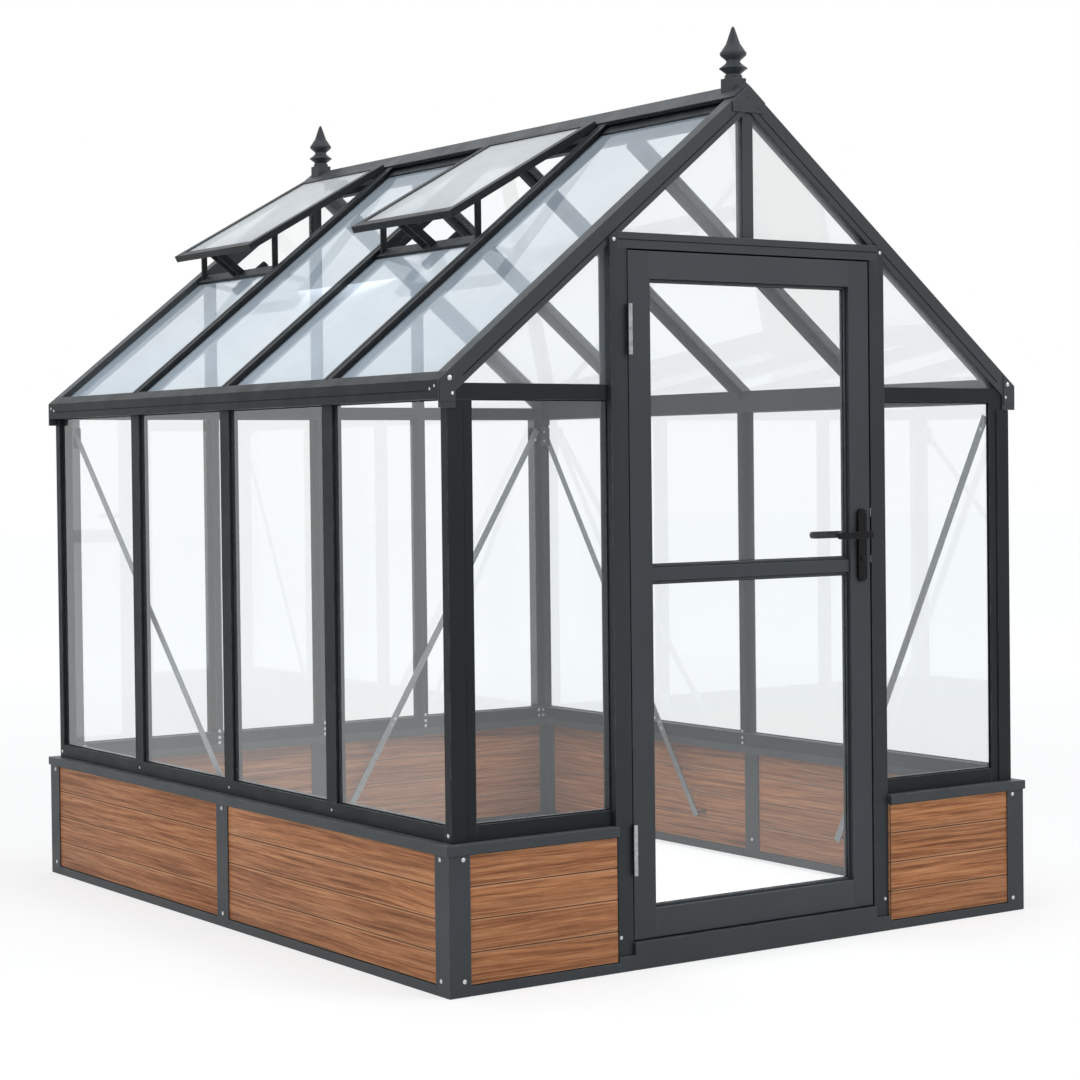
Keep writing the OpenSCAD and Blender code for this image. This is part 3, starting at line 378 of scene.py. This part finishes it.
# ---------------------------------------------------------------- mesh helpers
class Piece:
    """One shown piece, built up in a bmesh; faces made by bevels carry edge = 1 for the wear."""

    def __init__(self, name, material, body="frame", slot=None, replaces=()):
        self.name, self.material, self.body, self.slot = name, material, body, slot
        self.replaced = replaces
        self.bm = bmesh.new()
        self.edge = self.bm.loops.layers.float.new("edge")

    def _bevel(self, edges, offset, segments):
        made = bmesh.ops.bevel(self.bm, geom=list(edges), offset=offset, segments=segments, profile=0.6,
                               affect="EDGES", clamp_overlap=True)
        for face in made["faces"]:
            for loop in face.loops:
                loop[self.edge] = 1.0

    def block(self, lo, hi, bevel, segments=1, place=None):
        """A bevelled bar or plate between two corners, in the frame of place if it is given."""
        lo, hi = Vector(lo), Vector(hi)
        size = Vector(abs(b - a) for a, b in zip(lo, hi))
        verts = bmesh.ops.create_cube(self.bm, size=1)["verts"]
        bmesh.ops.transform(self.bm, matrix=Matrix.Translation((lo + hi) / 2) @ Matrix.Diagonal((*size, 1)),
                            verts=verts)
        if place is not None:
            bmesh.ops.transform(self.bm, matrix=place, verts=verts)
        edges = dict.fromkeys(e for v in verts for e in v.link_edges)
        self._bevel(edges, min(bevel, min(size) * 0.4), segments)

    def lathe(self, profile, place, sides=20):
        """A turned shape: profile is (radius, height) pairs about the local z of place."""
        rings = []
        for radius, height in profile:
            if radius < 1e-6:
                rings.append([self.bm.verts.new(place @ Vector((0, 0, height)))])
                continue
            rings.append([self.bm.verts.new(place @ Vector((
                radius * math.cos(k * math.tau / sides), radius * math.sin(k * math.tau / sides), height)))
                for k in range(sides)])
        for a, b in zip(rings, rings[1:]):
            for k in range(sides):
                n = (k + 1) % sides
                corners = [a[k % len(a)], a[n % len(a)], b[n % len(b)], b[k % len(b)]]
                face = self.bm.faces.new(list(dict.fromkeys(corners)))
                face.smooth = True
        for ring in (rings[0], rings[-1]):
            if len(ring) > 2:
                self.bm.faces.new(ring)

    def screw(self, at, out, radius, height):
        """A pan head with a washer face and a cross recess, standing on a face that points along out."""
        out = Vector(out).normalized()
        turn = out.to_track_quat("Z", "Y").to_matrix().to_4x4()
        place = Matrix.Translation(Vector(at)) @ turn @ Matrix.Rotation(rng.uniform(0, math.pi), 4, "Z")
        r, h = radius, height
        self.lathe([(r * 1.18, 0.0), (r * 1.18, h * 0.22), (r * 0.98, h * 0.28), (r * 0.92, h * 0.62),
                    (r * 0.66, h * 0.9), (r * 0.36, h), (r * 0.30, h * 0.62), (0.0, h * 0.45)], place, 18)
        for turned in (0, math.pi / 2):
            self.block((-r * 0.5, -r * 0.07, h * 0.60), (r * 0.5, r * 0.07, h * 1.04), 0.0001, 1,
                       place @ Matrix.Rotation(turned, 4, "Z"))

    def fix(self, nodes, start, towards, radius):
        """A screw where a line from start first meets one of the nodes."""
        hits = [hit for hit in (surface(node, start, towards) for node in nodes) if hit is not None]
        nearest = min(hits, key=lambda hit: (hit - Vector(start)).length)
        self.screw(nearest, -Vector(towards), radius, radius * 0.45)

    def border(self, a, b, out, plane, width, height, bevel):
        """Four bars inside the opening a..b, from plane outwards along the axis out (0 = x, 1 = y)."""
        side = 1 if plane > 0 else -1
        far = plane + side * height
        for lo, hi in (((a[0], a[1]), (a[0] + width, b[1])), ((b[0] - width, a[1]), (b[0], b[1])),
                       ((a[0] + width, a[1]), (b[0] - width, a[1] + width)),
                       ((a[0] + width, b[1] - width), (b[0] - width, b[1]))):
            if out == 0:
                self.block((min(plane, far), lo[0], lo[1]), (max(plane, far), hi[0], hi[1]), bevel)
            else:
                self.block((lo[0], min(plane, far), lo[1]), (hi[0], max(plane, far), hi[1]), bevel)

    def plate(self, points, low, high, bevel):
        """A flat plate standing in a plane across y: its outline is (x, z) points."""
        rings = [[self.bm.verts.new((x, y, z)) for x, z in points] for y in (low, high)]
        made = [self.bm.faces.new(rings[0]), self.bm.faces.new(rings[1][::-1])]
        for k in range(len(points)):
            n = (k + 1) % len(points)
            made.append(self.bm.faces.new((rings[0][k], rings[0][n], rings[1][n], rings[1][k])))
        bmesh.ops.recalc_face_normals(self.bm, faces=made)
        self._bevel(dict.fromkeys(e for face in made for e in face.edges), bevel, 1)

    def done(self):
        """Makes the object, puts it on its body and hides the nodes it stands for."""
        bmesh.ops.recalc_face_normals(self.bm, faces=self.bm.faces)
        mesh = bpy.data.meshes.new(self.name)
        self.bm.to_mesh(mesh)
        self.bm.free()
        mesh.set_sharp_from_angle(angle=math.radians(38))
        mesh.materials.append(self.material)
        obj = bpy.data.objects.new(self.name, mesh)
        scene.collection.objects.link(obj)
        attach(obj, self.body)
        if self.replaced:
            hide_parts(*self.replaced)
        return obj


TREES = {}


def surface(node, start, towards):
    """Where a line from start first meets the node, or None."""
    if node not in TREES:
        mesh = frame["nodes"][node].data
        TREES[node] = BVHTree.FromPolygons([v.co.copy() for v in mesh.vertices],
                                           [tuple(face.vertices) for face in mesh.polygons])
    return TREES[node].ray_cast(Vector(start), Vector(towards))[0]


def clean_copy(node):
    """The node's mesh with its doubles merged and its flat faces whole."""
    bm = bmesh.new()
    bm.from_mesh(frame["nodes"][node].data)
    bmesh.ops.remove_doubles(bm, verts=bm.verts, dist=1e-5)
    bmesh.ops.dissolve_limit(bm, angle_limit=math.radians(1.0), verts=bm.verts, edges=bm.edges)
    return bm


def softened(node, material, slot, width=0.0011, segments=2):
    """The node's own shape with its sharp corners rounded and marked for wear."""
    piece = Piece(node + "_shown", material, body_of(frame["nodes"][node])[0], slot, (node,))
    piece.bm.free()
    piece.bm = clean_copy(node)
    piece.edge = piece.bm.loops.layers.float.new("edge")
    for face in piece.bm.faces:
        face.smooth = True
    sharp = [e for e in piece.bm.edges
             if len(e.link_faces) == 2 and e.calc_face_angle(0) > math.radians(30)]
    piece._bevel(sharp, width, segments)
    piece.done().data.set_sharp_from_angle(angle=math.radians(18))


def islands(node):
    """(lowest corner, highest corner) of each separate solid of a node."""
    bm = clean_copy(node)
    seen, boxes = set(), []
    for start in bm.verts:
        if start in seen:
            continue
        group, todo = [], [start]
        seen.add(start)
        while todo:
            v = todo.pop()
            group.append(v.co.copy())
            for e in v.link_edges:
                other = e.other_vert(v)
                if other not in seen:
                    seen.add(other)
                    todo.append(other)
        boxes.append((Vector(min(c[i] for c in group) for i in range(3)),
                      Vector(max(c[i] for c in group) for i in range(3))))
    bm.free()
    return sorted(boxes, key=lambda b: tuple(round(c, 4) for c in (*b[0], *b[1])))


def slope(side):
    """Local x runs down the slope from the ridge, y along the ridge, z out of the roof."""
    c, n = math.cos(PITCH), math.sin(PITCH)
    return Matrix(((side * c, 0, side * n, 0), (0, 1, 0, 0), (-n, 0, c, RIDGE_Z), (0, 0, 0, 1)))


# ---------------------------------------------------------------- frame members
METAL_NODES = (
    "base_posts", "base_ground_rails", "base_caps", "corner_posts", "sill_rails", "side_mullions",
    "back_mullions", "eaves_beams", "gable_rails", "door_jambs", "door_head", "door_threshold",
    "apex_mullion", "front_barge_rafters", "back_barge_rafters", "left_rafters", "right_rafters",
    "ridge_beam", "ridge_cap", "vent_sill_bars", "vent_frames", "apex_plates", "finials",
    "door_stiles", "door_rails", "door_glazing_bar")
# parts that take the lit copy and the shaded copies of the coat
COATS = {"door_jambs": SHADED_JAMB_COAT, "door_rails": LIT_RAIL_COAT, "base_caps": LIT_RAIL_COAT, "door_glazing_bar": LIT_RAIL_COAT}
for name in ("corner_posts", "sill_rails", "side_mullions", "back_mullions", "eaves_beams", "gable_rails",
             "left_rafters", "right_rafters", "ridge_beam", "vent_sill_bars", "vent_frames"):
    COATS[name] = SHADED_PROFILE_COAT
for name in METAL_NODES:
    softened(name, COATS.get(name, FRAME), "frame_metal")
softened("wall_braces", BRACE, "brace_metal", 0.0007)
for name in ("hinge_frame_halves", "hinge_door_halves"):
    softened(name, HINGE, "zinc", 0.0007)
softened("vent_openers", OPENER, "opener_black", 0.0009)
for name in ("handle_plates", "door_lever"):
    softened(name, BLACK, "handle_black", 0.0014, 3)

for name, glass in (("left_wall_glass", WALL_GLASS), ("right_wall_glass", WALL_GLASS),
                    ("back_wall_glass", WALL_GLASS), ("front_wall_glass", FRONT_GLASS),
                    ("door_glass", FRONT_GLASS), ("left_roof_glass", ROOF_GLASS),
                    ("right_roof_glass", FAR_ROOF_GLASS), ("vent_glass", VENT_GLASS),
                    ("front_gable_glass", GABLE_GLASS), ("back_gable_glass", GABLE_GLASS)):
    softened(name, glass, "clear_glass", 0.0005, 1)


# ---------------------------------------------------------------- boards
def boards(node):
    """Each panel of the node as separate chamfered boards, their grain along their length."""
    piece = Piece(node + "_shown", WOOD, "frame", "board_wood", (node,))
    grain = piece.bm.verts.layers.float_vector.new("grain")
    tone = piece.bm.verts.layers.float.new("tone")
    shade_strips = Piece(node + "_tongues", BLACK_SEALS_AND_SHADE)
    for lo, hi in islands(node):
        along = 0 if hi.x - lo.x > hi.y - lo.y else 1
        across = 1 - along
        step = (hi.z - lo.z) / BOARDS_A_PANEL
        outer = max(lo[across], hi[across], key=abs)
        # painted shade: a black border round each panel, where the frame casts shade on the boards
        shade_strips.border((lo[along], lo.z), (hi[along], hi.z), across, outer, 0.0028, 0.0008, 0.0002)
        # painted shade: black strips in the gaps between the boards
        for k in range(1, BOARDS_A_PANEL):
            a, b = lo.copy(), hi.copy()
            a[across], b[across] = lo[across] + SHADE_STRIP_SET, hi[across] - SHADE_STRIP_SET
            a.z, b.z = lo.z + k * step - BOARD_GAP / 2, lo.z + k * step + BOARD_GAP / 2
            shade_strips.block(a, b, 0.0002)
        for k in range(BOARDS_A_PANEL):
            known = set(piece.bm.verts)
            a, b = lo.copy(), hi.copy()
            a.z, b.z = lo.z + k * step + BOARD_GAP / 2, lo.z + (k + 1) * step - BOARD_GAP / 2
            piece.block(a, b, BOARD_CHAMFER, 2)
            shift = Vector((rng.uniform(0, 40), rng.uniform(0, 40), rng.uniform(0, 40)))
            shade = rng.random()
            for v in piece.bm.verts:
                if v not in known:
                    v[grain] = Vector((v.co[along], v.co.z, v.co[across])) + shift
                    v[tone] = shade
    shade_strips.done()
    piece.done()


for name in ("side_base_boards", "back_base_boards", "front_base_boards"):
    boards(name)


# ---------------------------------------------------------------- screws, plates, seals and trims
def add_screws():
    """Screws of the posts, eaves, sills and jambs, and duller ones in the apex plates."""
    piece = Piece("frame_screws", ZINC, "frame", "zinc")
    apex = Piece("apex_screws", FRAME, "frame", "frame_metal")
    for sx in (-1, 1):
        for sy in (-1, 1):
            piece.fix(("corner_posts",), (sx * 0.962, sy * OUTSIDE, 0.405), (0, -sy, 0), LARGE)
            piece.fix(("corner_posts",), (sx * OUTSIDE, sy * 1.200, 0.407), (-sx, 0, 0), LARGE)
            for z in POST_SCREWS_Z:
                piece.fix(("base_posts",), (sx * 0.975, sy * OUTSIDE, z), (0, -sy, 0), LARGE)
                piece.fix(("base_posts",), (sx * OUTSIDE, sy * 1.1995, z), (-sx, 0, 0), LARGE)
            piece.fix(("eaves_beams",), (sx * OUTSIDE, sy * 1.197, 1.552), (-sx, 0, 0), SMALL)
            piece.fix(("eaves_beams",), (sx * OUTSIDE, sy * 1.175, 1.545), (-sx, 0, 0), SMALL)
            apex.fix(("apex_plates",), (sx * 0.034, sy * OUTSIDE, 2.326), (0, -sy, 0), APEX_SCREW)
        for z in POST_SCREWS_Z:
            piece.fix(("base_posts",), (sx * OUTSIDE, 0, z), (-sx, 0, 0), LARGE)
        for y in SIDE_LINES:
            piece.fix(("sill_rails",), (sx * OUTSIDE, y, 0.409), (-sx, 0, 0), SMALL)
        for z in (1.943, 0.090):
            piece.fix(("door_jambs",), (sx * JAMB_SCREW_X, -OUTSIDE, z), (0, 1, 0), MEDIUM)
    for sy in (-1, 1):
        apex.fix(("apex_plates",), (0, sy * OUTSIDE, 2.352), (0, -sy, 0), APEX_SCREW)
    for z in POST_SCREWS_Z:
        piece.fix(("base_posts",), (0, OUTSIDE, z), (0, -1, 0), LARGE)
    piece.done()
    apex.done()


def add_inner_screws():
    """Screws at the feet of the mullions, in the rear corners, the base posts and the braces."""
    piece = Piece("inner_screws", ZINC, "frame", "zinc")
    foot = ("side_mullions", "back_mullions", "sill_rails", "base_caps", "corner_posts", "base_posts")
    braces = ("wall_braces",)
    for z in (0.436, 0.414, 0.396):
        for sx in (-1, 1):
            for y in SIDE_LINES:
                piece.fix(foot, (sx * INSIDE, y, z), (sx, 0, 0), MEDIUM)
        for x in BACK_LINES:
            piece.fix(foot, (x, INSIDE, z), (0, 1, 0), LARGE)
    for sx, (low, run) in ((-1, LEFT_BRACE), (1, RIGHT_BRACE)):
        for z in (0.420, 0.400):
            for x in (0.925, 0.945):
                piece.fix(foot, (sx * x, INSIDE, z), (0, 1, 0), CORNER_SCREW)
        piece.fix(foot, (sx * INSIDE, 0, 0.064), (sx, 0, 0), LARGE)
        for z in (0.430, 0.410):
            piece.fix(braces, (sx * INSIDE, low + run * (z - BRACE_LOW), z), (sx, 0, 0), BRACE_SCREW)
    for z in (0.430, 0.410, 1.440):
        rise = z - BRACE_LOW
        piece.fix(braces, (INSIDE, FRONT_BRACE[0] + FRONT_BRACE[1] * rise, z), (1, 0, 0), BRACE_SCREW)
        piece.fix(braces, (BACK_BRACE[0] + BACK_BRACE[1] * rise, INSIDE, z), (0, 1, 0), BRACE_SCREW)
    piece.done()


def add_brackets():
    """A small plate over the top of each side brace, on the corner post."""
    piece = Piece("brace_brackets", FRAME, "frame", "frame_metal")
    screws = Piece("brace_bracket_screws", ZINC, "frame", "zinc")
    for sx in (-1, 1):
        face = surface("wall_braces", (sx * INSIDE, 1.155, 1.460), (sx, 0, 0)).x
        x = sorted((face, face - sx * PLATE_T))
        piece.block((x[0], 1.118, 1.418), (x[1], 1.1735, 1.486), 0.0008)
        for z in (1.436, 1.470):
            screws.screw((face - sx * PLATE_T, 1.150, z), (-sx, 0, 0), MEDIUM, 0.0020)
    piece.done()
    screws.done()


def add_eaves_plates():
    """A plate over the foot of each barge rafter, held by a large and a small screw."""
    plates = Piece("eaves_plates", FRAME, "frame", "frame_metal")
    screws = Piece("eaves_plate_screws", ZINC, "frame", "zinc")
    near, far = PLATE_X
    near_top, far_top = (RIDGE_Z - x * math.tan(PITCH) - 0.004 for x in PLATE_X)
    for sx in (-1, 1):
        for sy in (-1, 1):
            points = [(sx * near, 1.512), (sx * far, 1.512), (sx * far, far_top), (sx * near, near_top)]
            face = sy * (BARGE_Y + PLATE_T)
            plates.plate(points, *sorted((sy * BARGE_Y, face)), 0.0006)
            screws.screw((sx * 0.987, face, 1.572), (0, sy, 0), 0.0056, 0.0030)
            screws.screw((sx * 0.979, face, 1.533), (0, sy, 0), 0.0036, 0.0020)
    plates.done()
    screws.done()


def openings(lines, end):
    """(start, end) of each opening between mullions on the given lines, from -end to end."""
    edges = [-end] + [line + s * MULLION_HALF for line in lines for s in (-1, 1)] + [end]
    return list(zip(edges[::2], edges[1::2]))


def add_seals():
    """A black seal along the edge of every opening of the walls, on the glass."""
    piece = Piece("glazing_seals", BLACK_SEALS_AND_SHADE)
    for y0, y1 in openings(SIDE_LINES, WY - CORNER_SIDE):
        for sx in (-1, 1):
            piece.border((y0, SILL_Z), (y1, BEAM_Z), 0, sx * GLASS_X, SEAL_W, SEAL_H, 0.0006)
    for x0, x1 in openings(BACK_LINES, WX - CORNER_FACE):
        piece.border((x0, SILL_Z), (x1, BEAM_Z), 1, GLASS_Y, SEAL_W, SEAL_H, 0.0006)
    for x0, x1 in ((CORNER_FACE - WX, -JAMB_OUT), (JAMB_OUT, WX - CORNER_FACE)):
        piece.border((x0, SILL_Z), (x1, BEAM_Z), 1, -GLASS_Y, SEAL_W, SEAL_H, 0.0006)
    piece.done()


def add_trims():
    """Raised outer halves of the corner posts and the fine black joints of the profiles."""
    steps = Piece("corner_steps", SHADED_PROFILE_COAT, "frame", "frame_metal")
    lines = Piece("profile_joints", BLACK_SEALS_AND_SHADE)
    low, high = CAP_TOP + 0.0005, BARGE_FOOT - 0.001
    parts = ((steps, (0.9450, WX - 0.0005), 0.0030), (lines, (0.9420, 0.9449), 0.0012))
    for sx in (-1, 1):
        for sy in (-1, 1):
            face = sy * WY
            for piece, xs, proud in parts:
                y = sorted((face, face + sy * proud))
                x = sorted(sx * v for v in xs)
                piece.block((x[0], y[0], low), (x[1], y[1], high), 0.0006)
            # along the faces of the barge rafters
            y = sorted((sy * BARGE_Y, sy * (BARGE_Y + LINE_H)))
            lines.block((0.078, y[0], -0.0385), (1.243, y[1], -0.0355), 0.0003, 1, slope(sx))
        # along the eaves and down the middle of each rafter
        x = sorted((sx * EAVES_X, sx * (EAVES_X + LINE_H)))
        lines.block((x[0], -1.160, 1.5390), (x[1], 1.160, 1.5415), 0.0003)
        for y in SIDE_LINES:
            lines.block((0.072, y - 0.0016, 0.0), (SLOPE_LEN - 0.030, y + 0.0016, LINE_H), 0.0003, 1,
                        slope(sx))
    # over the door
    lines.block((-JAMB_STEP, -JAMB_FACE - LINE_H, 1.9430), (JAMB_STEP, -JAMB_FACE, 1.9455), 0.0003)
    steps.done()
    lines.done()


def add_ridge_seals():
    """A black seal between the ridge cap and the roof, but for the bays with a vent."""
    piece = Piece("ridge_seals", BLACK_SEALS_AND_SHADE)
    ends = (-WY + 0.05,) + SIDE_LINES + (WY - 0.05,)
    for bay, (y0, y1) in enumerate(zip(ends, ends[1:])):
        for side in (-1, 1):
            if side > 0 or bay not in VENT_BAYS:
                piece.block((0.0590, y0 + 0.004, -0.0052), (0.0665, y1 - 0.004, -0.0002), 0.0006, 1,
                            slope(side))
    piece.done()


def add_door_beads():
    """Beads round both panes outside, with a thin seal inside them, and up their sides indoors."""
    beads = Piece("door_beads", LIT_RAIL_COAT, "door", "frame_metal")
    seals = Piece("door_seals", BLACK_SEALS_AND_SHADE, "door")
    for z0, z1 in ((pane_lo.z, bar_lo.z), (bar_hi.z, pane_hi.z)):
        a, b = (pane_lo.x, z0), (pane_hi.x, z1)
        beads.border(a, b, 1, pane_lo.y, BEAD_W, BEAD_H, 0.0018)
        near, far = pane_hi.y, pane_hi.y + BEAD_H
        beads.block((a[0], near, z0), (a[0] + BEAD_W, far, z1), 0.0018)
        beads.block((b[0] - BEAD_W, near, z0), (b[0], far, z1), 0.0018)
        seals.border((a[0] + BEAD_W, z0 + BEAD_W), (b[0] - BEAD_W, z1 - BEAD_W), 1, pane_lo.y, 0.0020, 0.0016,
                     0.0004)
    beads.done()
    seals.done()


def add_lock():
    """Key cylinders and plate screws on both sides of the door, strikes in the jamb."""
    plate_lo, plate_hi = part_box("handle_plates")
    x = (plate_lo.x + plate_hi.x) / 2
    key = Piece("key_cylinder", BLACK, "door", "handle_black")
    slot = Piece("keyway", BLACK_SEALS_AND_SHADE, "door")
    screws = Piece("handle_plate_screws", BLACK, "door", "handle_black")
    profile = [(0.0088, 0), (0.0088, 0.0016), (0.0080, 0.0024), (0.0066, 0.0026), (0.0, 0.0026)]
    for y, out in ((plate_lo.y, -1), (plate_hi.y, 1)):
        place = Matrix.Translation((x, y, KEY_Z)) @ Matrix.Rotation(out * math.pi / 2, 4, (-1, 0, 0))
        key.lathe(profile, place, 24)
        slot.block((-0.0009, -0.0045, 0.0026), (0.0009, 0.0045, 0.0031), 0.0002, 1, place)
        for z in (plate_lo.z + 0.012, plate_hi.z - 0.012):
            screws.screw((x, y, z), (0, out, 0), SMALL, 0.0018)
    for piece in (key, slot, screws):
        piece.done()
    strikes = Piece("lock_strikes", ZINC, "frame", "zinc")
    for z, half in ((1.202, 0.012), (1.069, 0.010)):
        strikes.block((JAMB_IN - 0.0015, -1.2270, z - half), (JAMB_IN, -1.2140, z + half), 0.0004)
    strikes.done()
    cover = Piece("jamb_cover_screw", FRAME, "frame", "frame_metal")
    cover.fix(("door_jambs",), (JAMB_SCREW_X, -OUTSIDE, 1.110), (0, 1, 0), COVER_SCREW)
    cover.done()


def add_door_seals():
    """Black seals round the leaf: on the jambs and the head, and a sweep under it."""
    rebate = Piece("jamb_seals", BLACK_SEALS_AND_SHADE)
    for side, near in ((-1, BEHIND_HINGES_Y), (1, REBATE_Y)):
        x = sorted((side * JAMB_IN, side * (JAMB_IN - 0.0034)))
        rebate.block((x[0], near, leaf_lo.z), (x[1], REBATE_END, leaf_hi.z), 0.0006)
    rebate.block((leaf_lo.x, REBATE_Y, leaf_hi.z + 0.0010), (leaf_hi.x, REBATE_END, HEAD_LOW), 0.0006)
    rebate.done()
    sweep = Piece("door_sweep", BLACK_SEALS_AND_SHADE, "door")
    low, high = (leaf_lo.x + 0.002, REBATE_Y, leaf_lo.z - 0.0035), (leaf_hi.x - 0.002, -1.193, leaf_lo.z)
    sweep.block(low, high, 0.0008)
    sweep.done()


def add_hinge_rings():
    """A small turned cap at each end of both hinge barrels."""
    lo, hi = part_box("hinge_frame_halves")
    r = (hi.x - lo.x) / 2
    x, y = (lo.x + hi.x) / 2, lo.y + r
    rings = Piece("hinge_rings", HINGE, "frame", "zinc")
    for z in (lo.z, hi.z - BARREL_LEN):
        foot, top = (Matrix.Translation((x, y, at)) for at in (z, z + BARREL_LEN))
        rings.lathe([(r * 0.55, -0.0036), (r * 0.95, -0.0020), (r * 0.95, 0.0)], foot)
        rings.lathe([(r * 0.95, 0.0), (r * 0.95, 0.0020), (r * 0.55, 0.0036)], top)
    rings.done()


add_screws()
add_inner_screws()
add_brackets()
add_eaves_plates()
add_seals()
add_trims()
add_ridge_seals()
add_door_beads()
add_lock()
add_door_seals()
add_hinge_rings()


# ---------------------------------------------------------------- world, floor and lamps
DOME_LIGHT, INDOOR_GLOW = 0.66, 0.16


def add_world():
    """White where a camera, mirror or glass ray looks; a plain pale dome for the light itself."""
    world = bpy.data.worlds.new("studio")
    scene.world = world
    world.use_nodes = True
    tree = world.node_tree
    tree.nodes.clear()
    path = tree.nodes.new("ShaderNodeLightPath")
    total = path.outputs["Is Camera Ray"]
    for name in ("Is Glossy Ray", "Is Transmission Ray"):
        add = tree.nodes.new("ShaderNodeMath")
        add.operation = "MAXIMUM"
        tree.links.new(total, add.inputs[0])
        tree.links.new(path.outputs[name], add.inputs[1])
        total = add.outputs[0]
    dome = tree.nodes.new("ShaderNodeBackground")
    dome.inputs["Color"].default_value = (0.94, 0.97, 1.0, 1)
    dome.inputs["Strength"].default_value = DOME_LIGHT
    white = tree.nodes.new("ShaderNodeBackground")
    white.inputs["Color"].default_value = (1, 1, 1, 1)
    white.inputs["Strength"].default_value = 1.0
    mix = tree.nodes.new("ShaderNodeMixShader")
    tree.links.new(total, mix.inputs[0])
    tree.links.new(dome.outputs[0], mix.inputs[1])
    tree.links.new(white.outputs[0], mix.inputs[2])
    out = tree.nodes.new("ShaderNodeOutputWorld")
    tree.links.new(mix.outputs[0], out.inputs["Surface"])


def add_floor():
    """A pale floor that looks near white yet keeps the shadows, and glows a little indoors as painted light.
    """
    s = Shader("pale_floor")
    at = s.place()
    colour = s.ramp(s.noise(at, 0.5, 3), [(0.3, (0.905, 0.915, 0.925)), (0.7, (0.925, 0.930, 0.935))])
    paint = s.node("BsdfDiffuse", {"Color": colour, "Roughness": 0.6,
                                   "Normal": s.bump(s.noise(at, 120, 3), 0.05, 0.0005)}).outputs[0]
    path = s.node("LightPath")
    seen = s.maths("MAXIMUM", path.outputs["Is Camera Ray"], path.outputs["Is Glossy Ray"])
    seen = s.maths("MAXIMUM", seen, path.outputs["Is Transmission Ray"])
    away = s.node("VectorMath", {0: at}, operation="LENGTH").outputs["Value"]
    parts = s.node("SeparateXYZ", {0: at})
    # painted light: the floor glows brighter inside the greenhouse, where its shade falls
    across = s.maths("LESS_THAN", s.maths("ABSOLUTE", parts.outputs["X"], 0), IN_X)
    along = s.maths("LESS_THAN", s.maths("ABSOLUTE", parts.outputs["Y"], 0), IN_Y)
    indoors = s.maths("MULTIPLY", s.maths("MULTIPLY", across, along), INDOOR_GLOW)
    strength = s.maths("ADD", s.span(away, 2.5, 9.0, 0.640, 0.735), indoors)
    glow = s.node("Emission", {"Color": (1, 1, 1, 1), "Strength": strength}).outputs[0]
    soft = s.node("BsdfDiffuse", {"Color": (0.40, 0.40, 0.40, 1)}).outputs[0]
    shown = s.node("AddShader", {0: soft, 1: glow}).outputs[0]
    material = s.finish(s.node("MixShader", {0: seen, 1: paint, 2: shown}).outputs[0])
    bm = bmesh.new()
    bmesh.ops.create_grid(bm, x_segments=8, y_segments=8, size=40)
    mesh = bpy.data.meshes.new("floor")
    bm.to_mesh(mesh)
    bm.free()
    mesh.materials.append(material)
    floor = bpy.data.objects.new("floor", mesh)
    floor.location.z = -0.0005
    scene.collection.objects.link(floor)


def add_lamp(name, place, target, size, watts):
    """A round soft lamp that faces its target."""
    data = bpy.data.lights.new(name, "AREA")
    data.shape = "DISK"
    data.size = size
    data.energy = watts
    lamp = bpy.data.objects.new(name, data)
    lamp.location = place
    lamp.rotation_euler = (Vector(target) - Vector(place)).to_track_quat("-Z", "Y").to_euler()
    scene.collection.objects.link(lamp)
    return lamp


add_camera()
add_world()
add_floor()
add_lamp("key", (3.2, -6.5, 6.0), (0, 0, 0.9), 4.5, 190)
add_lamp("fill", (-6.5, -1.5, 5.0), (0, 0, 1.0), 5.0, 140)
inside = add_lamp("inside", (0, 0, 1.9), (0, 0, 0), 1.3, 9)
inside.visible_camera = inside.visible_glossy = inside.visible_transmission = False

scene.view_settings.view_transform = "Standard"
